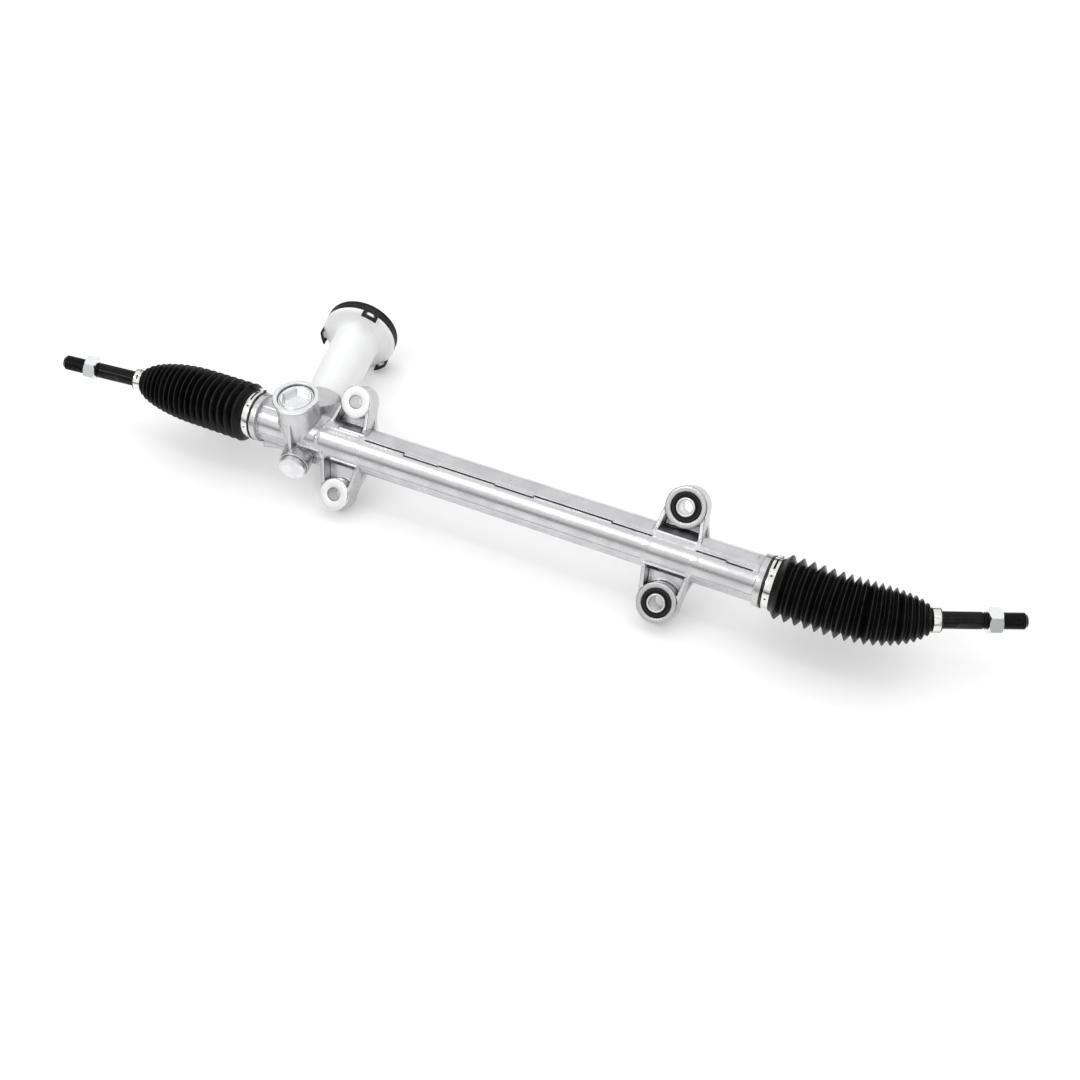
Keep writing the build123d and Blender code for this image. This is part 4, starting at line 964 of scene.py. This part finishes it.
def make_big_clamp(side, end_x, outward, bolt_lean, finishes):
    """Ear clamp round the big cuff: band with its slots, pinched ear and overlapping tail."""
    middle = end_x + outward * (CUFF_LENGTH / 2 - 0.2)
    matrix = axis_frame(Vector((middle * MM, 0, 0)), (1, 0, 0))
    inner = CUFF_RADIUS + 0.1
    outer = inner + BIG_CLAMP_WALL
    half = BIG_CLAMP_WIDTH / 2
    width = (-half + 0.7, half - 0.7)
    top = outer + EAR_HEIGHT

    def block(label, radii, turn, heights, steps):
        angles = (bolt_lean + turn[0], bolt_lean + turn[1])
        return curved_block(f"{side}_{label}", matrix, radii, angles, heights, steps)

    # the ear stands on the side of the upper lugs; the tail laps over the band below it
    pieces = [
        clamp_ring(f"{side}_band", matrix, inner, outer, half, 0.35, 128),
        block("tail", (outer - 0.1, outer + 0.55), BIG_TAIL, (-half, half), 24),
    ]
    for middle in (-EAR_ANGLE, EAR_ANGLE):
        wall = (middle - EAR_HALF_WALL, middle + EAR_HALF_WALL)
        pieces.append(block(f"ear_{middle}", (outer - 0.2, top), wall, width, 2))
    pieces.append(block("ear_roof", (outer + 2.0, top), (-EAR_ROOF_ANGLE, EAR_ROOF_ANGLE), width, 8))
    band = join(f"{side}_big_clamp_band", pieces)
    finish_piece(band, finishes, "clamp_steel", "housing", f"{side}_big_clamp")
    slots = [block("slot", (outer, outer + 0.58), BIG_SLOT, (-1.1, 1.1), 16)]
    for start in BIG_HOLES:
        turn = (start, start + HOLE_ANGLE)
        slots.append(block(f"hole_{start}", (outer - 0.3, outer + 0.03), turn, (-1.0, 1.0), 3))
    marks = join(f"{side}_big_clamp_slots", slots)
    finish_piece(marks, finishes, "black_steel", "housing")


def make_small_clamp(side, ball, direction, finishes):
    """Band round the small cuff with a slot and its bent tail."""
    middle = CUFF_TO_BALL[side] - SMALL_CUFF_LENGTH / 2 - 0.3
    matrix = axis_frame((ball + direction * middle) * MM, direction)
    inner = SMALL_CUFF_RADIUS + 0.05
    outer = inner + SMALL_CLAMP_WALL
    half = SMALL_CLAMP_WIDTH / 2
    # the lap runs over the top on the left rod and under it on the right one
    lap = SMALL_LAP[side]
    turn = (lap, lap + SMALL_LAP_ANGLE)
    tail = (lap + 66.0, lap + 71.0)
    width = (-half + 1.0, half - 1.0)
    pieces = [
        clamp_ring(f"{side}_small_band", matrix, inner, outer, half, 0.3, 96),
        curved_block(f"{side}_small_lap", matrix, (outer - 0.1, outer + 0.5), turn, (-half, half), 24),
        curved_block(f"{side}_small_tail", matrix, (outer - 0.2, outer + 1.9), tail, width, 3),
    ]
    band = join(f"{side}_small_clamp_band", pieces)
    finish_piece(band, finishes, "clamp_steel", f"{side}_rod", f"{side}_small_clamp")
    slots = [
        curved_block(f"{side}_small_slot_{start}", matrix, (outer, outer + reach),
                     (start, start + SMALL_SLOT_ANGLE), (-0.9, 0.9), 12)
        for start, reach in ((lap + 18.0, 0.53), (lap + 86.0, 0.03))
    ]
    marks = join(f"{side}_small_clamp_slots", slots)
    finish_piece(marks, finishes, "black_steel", f"{side}_rod")


# ---- Tie rods and nuts ----
def rod_profile():
    """(radius, distance) of a tie rod from its ball to the chamfered end of its thread."""
    seat = math.degrees(math.asin(NECK_RADIUS / BALL_RADIUS))
    points = [(0.01, -BALL_RADIUS)]
    for angle in range(8, int(180 - seat), 8):
        turn = math.radians(180 - angle)
        points.append((BALL_RADIUS * math.sin(turn), BALL_RADIUS * math.cos(turn)))
    points += [(NECK_RADIUS, BALL_RADIUS * math.cos(math.radians(seat))), (NECK_RADIUS, TAPER_START)]
    plain = (TAPER_END, FLATS_START, FLATS_START + ROD_SHOULDER, FLATS_END - ROD_SHOULDER, FLATS_END,
             THREAD_START - 1.2)
    points += [(ROD_RADIUS, distance) for distance in plain]
    crest = THREAD_RADIUS - 0.05
    root = THREAD_RADIUS - THREAD_DEPTH
    points.append((root, THREAD_START))
    turn_count = int((ROD_END - TIP_CHAMFER - THREAD_START) / THREAD_PITCH)
    for turn in range(turn_count):
        at = THREAD_START + THREAD_RUN_IN + turn * THREAD_PITCH
        points += [(root, at), (root, at + 0.25), (crest, at + 0.7), (crest, at + 1.0)]
    points.append((root, THREAD_START + THREAD_RUN_IN + turn_count * THREAD_PITCH))
    tip = THREAD_RADIUS - TIP_CHAMFER
    return points + [(tip, ROD_END - 0.3), (tip - 0.4, ROD_END), (0.01, ROD_END)]


def flats_shape(radius, height, angle):
    """Radius of a rod at an angle, milled to two flats that run out in a shoulder at each end."""
    if radius < ROD_RADIUS - 0.1 or not FLATS_START < height < FLATS_END:
        return radius
    run_out = min(height - FLATS_START, FLATS_END - height)
    apothem = FLATS / 2 if run_out > ROD_SHOULDER - 0.1 else ROD_RADIUS
    across = abs(math.cos(angle))
    return min(radius, apothem / max(across, 0.01))


def make_rod(side, ball, direction, finishes):
    """Tie rod with its ball, neck, wrench flats and thread."""
    matrix = axis_frame(ball * MM, direction)
    piece = lathe(f"{side}_rod_body", rod_profile(), matrix, 72, closed=False, shape=flats_shape)
    finish_piece(piece, finishes, "black_steel", f"{side}_rod", f"{side}_tie_rod")


def make_nut(side, ball, direction, finishes):
    """Plain hexagon lock nut, chamfered on both faces."""
    matrix = axis_frame(ball * MM, direction)
    apothem = NUT_FLATS / 2
    corner = apothem / math.cos(math.radians(30))
    top = ROD_END - NUT_TO_END[side]
    base = top - NUT_HEIGHT
    bore = THREAD_RADIUS - 0.2
    rise = corner - apothem + 0.4
    fall = rise * math.tan(math.radians(30))

    def hexagon(radius, height, angle):
        return min(radius, hexagon_reach(apothem, angle))

    steps = 6
    profile = [(bore, top - 0.9), (bore + 0.9, top)]
    profile += [(apothem - 0.4 + rise * step / steps, top - fall * step / steps) for step in range(steps + 1)]
    profile += [(radius, base + top - height) for radius, height in reversed(profile)]
    piece = lathe(f"{side}_nut_body", profile, matrix, 120, shape=hexagon)
    finish_piece(piece, finishes, "zinc_plate", f"{side}_rod", f"{side}_lock_nut")


# ---- Stage, lights and camera ----
def seen_mask(tree):
    """One for what the camera sees, also in reflections and through a piece; nought for soft light."""
    path = tree.nodes.new("ShaderNodeLightPath")
    seen = math_node(tree, "MAXIMUM", path.outputs["Is Camera Ray"], path.outputs["Is Glossy Ray"])
    return math_node(tree, "MAXIMUM", seen, path.outputs["Is Transmission Ray"])


def make_floor(low):
    """Pale floor at the lowest point of the gear."""
    half = FLOOR_HALF
    corners = [(-half, -half, low), (half, -half, low), (half, half, low), (-half, half, low)]
    floor = mesh_object("studio_floor", corners, [(0, 1, 2, 3)], smooth=False)
    material, tree, shader = base_material("studio_floor", grey(0.92), 0.3)
    shader.inputs["Specular IOR Level"].default_value = 0.25
    shader.inputs["Emission Color"].default_value = (1.0, 1.0, 1.0, 1.0)
    glow = math_node(tree, "MULTIPLY", seen_mask(tree), FLOOR_GLOW)
    tree.links.new(glow, shader.inputs["Emission Strength"])
    paint(floor, material)


def make_world():
    """White to the camera and in reflections; a plain grey light for the rest."""
    world = bpy.data.worlds.new("studio")
    bpy.context.scene.world = world
    world.use_nodes = True
    tree = world.node_tree
    tree.nodes.clear()
    output = tree.nodes.new("ShaderNodeOutputWorld")
    background = tree.nodes.new("ShaderNodeBackground")
    tree.links.new(mix_color(tree, seen_mask(tree), grey(0.86), grey(1.0)), background.inputs["Color"])
    tree.links.new(background.outputs[0], output.inputs[0])


def area_light(name, place, target, size, power):
    """A soft rectangular lamp that looks at a target."""
    data = bpy.data.lights.new(name, "AREA")
    data.shape = "RECTANGLE"
    data.size, data.size_y = size
    data.energy = power
    lamp = add_object(name, data)
    lamp.rotation_euler = (Vector(target) - Vector(place)).to_track_quat("-Z", "Y").to_euler()
    lamp.location = place


def grey_card(name, low, high, level, reach=3.0, length=7.0):
    """A long card that only reflections see, from one height to another.

    Heights are angles in degrees about the rack: 0 is level in front, 90 overhead, 180 level behind."""
    middle = math.radians((low + high) / 2)
    half = reach * math.tan(math.radians((high - low) / 2))
    out = Vector((0, -math.cos(middle), math.sin(middle)))
    rise = Vector((0, math.sin(middle), math.cos(middle)))
    centre = out * reach
    side = Vector((length / 2, 0, 0))
    corners = [centre - side - rise * half, centre + side - rise * half,
               centre + side + rise * half, centre - side + rise * half]
    add_card(name, corners, level)


def end_card(name, outward, level, reach=2.6, width=4.0, height=1.6):
    """A card across one end of the gear that only reflections see."""
    x = outward * reach
    corners = [Vector((x, -width / 2, -0.1)), Vector((x, width / 2, -0.1)),
               Vector((x, width / 2, height)), Vector((x, -width / 2, height))]
    add_card(name, corners, level)


def add_card(name, corners, level):
    """Card mesh of one grey level, hidden from the camera and from soft light."""
    card = mesh_object(name, corners, [(0, 1, 2, 3)], smooth=False)
    material, _, shader = base_material(name, grey(0.0), 0.5)
    shader.inputs["Specular IOR Level"].default_value = 0.0
    shader.inputs["Emission Color"].default_value = (level, level, level, 1.0)
    shader.inputs["Emission Strength"].default_value = 1.0
    paint(card, material)
    card.visible_camera = False
    card.visible_diffuse = False
    card.visible_shadow = False


def make_lights():
    """Long soft lamps in front and above, and cards that shape the reflections in the metal."""
    area_light("front_softbox", (-1.0, -1.25, 1.75), (-0.1, 0.0, 0.0), (1.8, 0.28), 9.0)
    area_light("top_strip", (0.0, 0.07, 2.0), (0.0, 0.0, 0.0), (3.0, 0.05), 2.5)
    area_light("top_fill", (0.0, 0.9, 2.6), (0.0, 0.0, 0.0), (3.0, 1.6), 12.0)
    grey_card("front_flag", -10.0, 7.0, 0.05)
    grey_card("front_low_card", 7.0, 17.0, 0.6)
    grey_card("overhead_card", 68.0, 104.0, 0.88, reach=2.2)
    grey_card("back_card", 104.0, 166.0, 0.95, reach=2.2)
    grey_card("back_flag", 166.0, 188.0, 0.06)
    end_card("left_end_card", -1, 0.15)
    end_card("right_end_card", 1, 0.15)


def make_camera():
    """Camera at the place, tilt and lens that frame the whole gear."""
    data = bpy.data.cameras.new("camera")
    data.lens = CAMERA_LENS
    data.sensor_width = CAMERA_SENSOR
    camera = add_object("camera", data)
    right = CAMERA_RIGHT.normalized()
    back = right.cross(CAMERA_UP).normalized()
    up = back.cross(right)
    matrix = Matrix((right, up, back)).transposed().to_4x4()
    matrix.translation = CAMERA_PLACE
    camera.matrix_world = matrix
    bpy.context.scene.camera = camera


# ---- The gear ----
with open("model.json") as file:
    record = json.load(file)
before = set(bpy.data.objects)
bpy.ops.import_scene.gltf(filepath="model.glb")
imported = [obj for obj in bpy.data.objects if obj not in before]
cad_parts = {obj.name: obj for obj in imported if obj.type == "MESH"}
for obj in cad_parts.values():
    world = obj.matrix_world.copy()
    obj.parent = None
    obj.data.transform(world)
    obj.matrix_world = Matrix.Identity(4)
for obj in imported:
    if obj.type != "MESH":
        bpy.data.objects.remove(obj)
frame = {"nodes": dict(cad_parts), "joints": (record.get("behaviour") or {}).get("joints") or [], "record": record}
cad_box = [list(corner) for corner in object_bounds()]
bpy.context.scene.view_settings.view_transform = "Standard"

joints = {joint["name"]: joint for joint in frame["joints"]}
mounts = {mount["name"]: mount for mount in frame["record"]["mounts"]}
bolt_direction = Vector(mounts["left_upper_bolt"]["axis"])
bolt_lean = math.degrees(math.acos(bolt_direction.z))
housing_left, housing_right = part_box("rack_housing")
left_end = housing_left[0] / MM + CUFF_LENGTH
right_end = housing_right[0] / MM - CUFF_LENGTH
lug_places = [
    (f"{side}_{row}_lug", Vector(mounts[f"{side}_{row}_bolt"]["pos_m"]), radius, bore)
    for side, radius, bore in (
        ("left", LEFT_LUG_RADIUS, BOLT_RADIUS), ("right", RIGHT_LUG_RADIUS, BUSH_RADIUS),
    )
    for row in ("upper", "lower")
]
pinion_place = Vector(joints["pinion_turn"]["pos_m"])
pinion_matrix = axis_frame(pinion_place, Vector(joints["pinion_turn"]["axis"]))
tower_matrix = axis_frame(Vector((pinion_place.x, 0, 0)), (0, 0, 1))
plug_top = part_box("yoke_plug")[1][2] / MM
tower_top = plug_top + PLUG_SINK
faced_places = {label: place for label, place, *_ in lug_places}
faced_places["tower"] = Vector((pinion_place.x, 0, tower_top * MM))
finishes = make_materials(faced_places)

slot_of = {entry["node"]: entry["material_slot"] for entry in frame["record"]["subparts"]}
for node_name, node in frame["nodes"].items():
    finish = finishes[slot_of[node_name]]
    if not node.material_slots:
        node.data.materials.append(finish)
    for slot in node.material_slots:
        slot.link = "OBJECT"
        slot.material = finish

dress_housing(bolt_lean, finishes)
make_lug_faces(lug_places, bolt_direction, finishes)
make_bushes(lug_places, bolt_direction, finishes)
make_tower_rim(tower_matrix, tower_top, finishes)
make_plug(tower_matrix, plug_top, finishes)
make_cap(pinion_matrix, finishes)
make_dust_cover(pinion_matrix, finishes)
make_cover_seal(pinion_matrix, finishes)
for side, outward, end_x in (("left", -1, left_end), ("right", 1, right_end)):
    ball = Vector(joints[f"{side}_rod_yaw"]["pos_m"]) / MM
    direction = Vector(mounts[f"{side}_rod_thread"]["axis"]).normalized()
    make_bellows(side, (end_x, ball, outward, direction, CUFF_TO_BALL[side]), finishes)
    make_big_clamp(side, end_x, outward, bolt_lean, finishes)
    make_small_clamp(side, ball, direction, finishes)
    make_rod(side, ball, direction, finishes)
    make_nut(side, ball, direction, finishes)

make_floor(cad_box[0][2])
make_world()
make_lights()
make_camera()
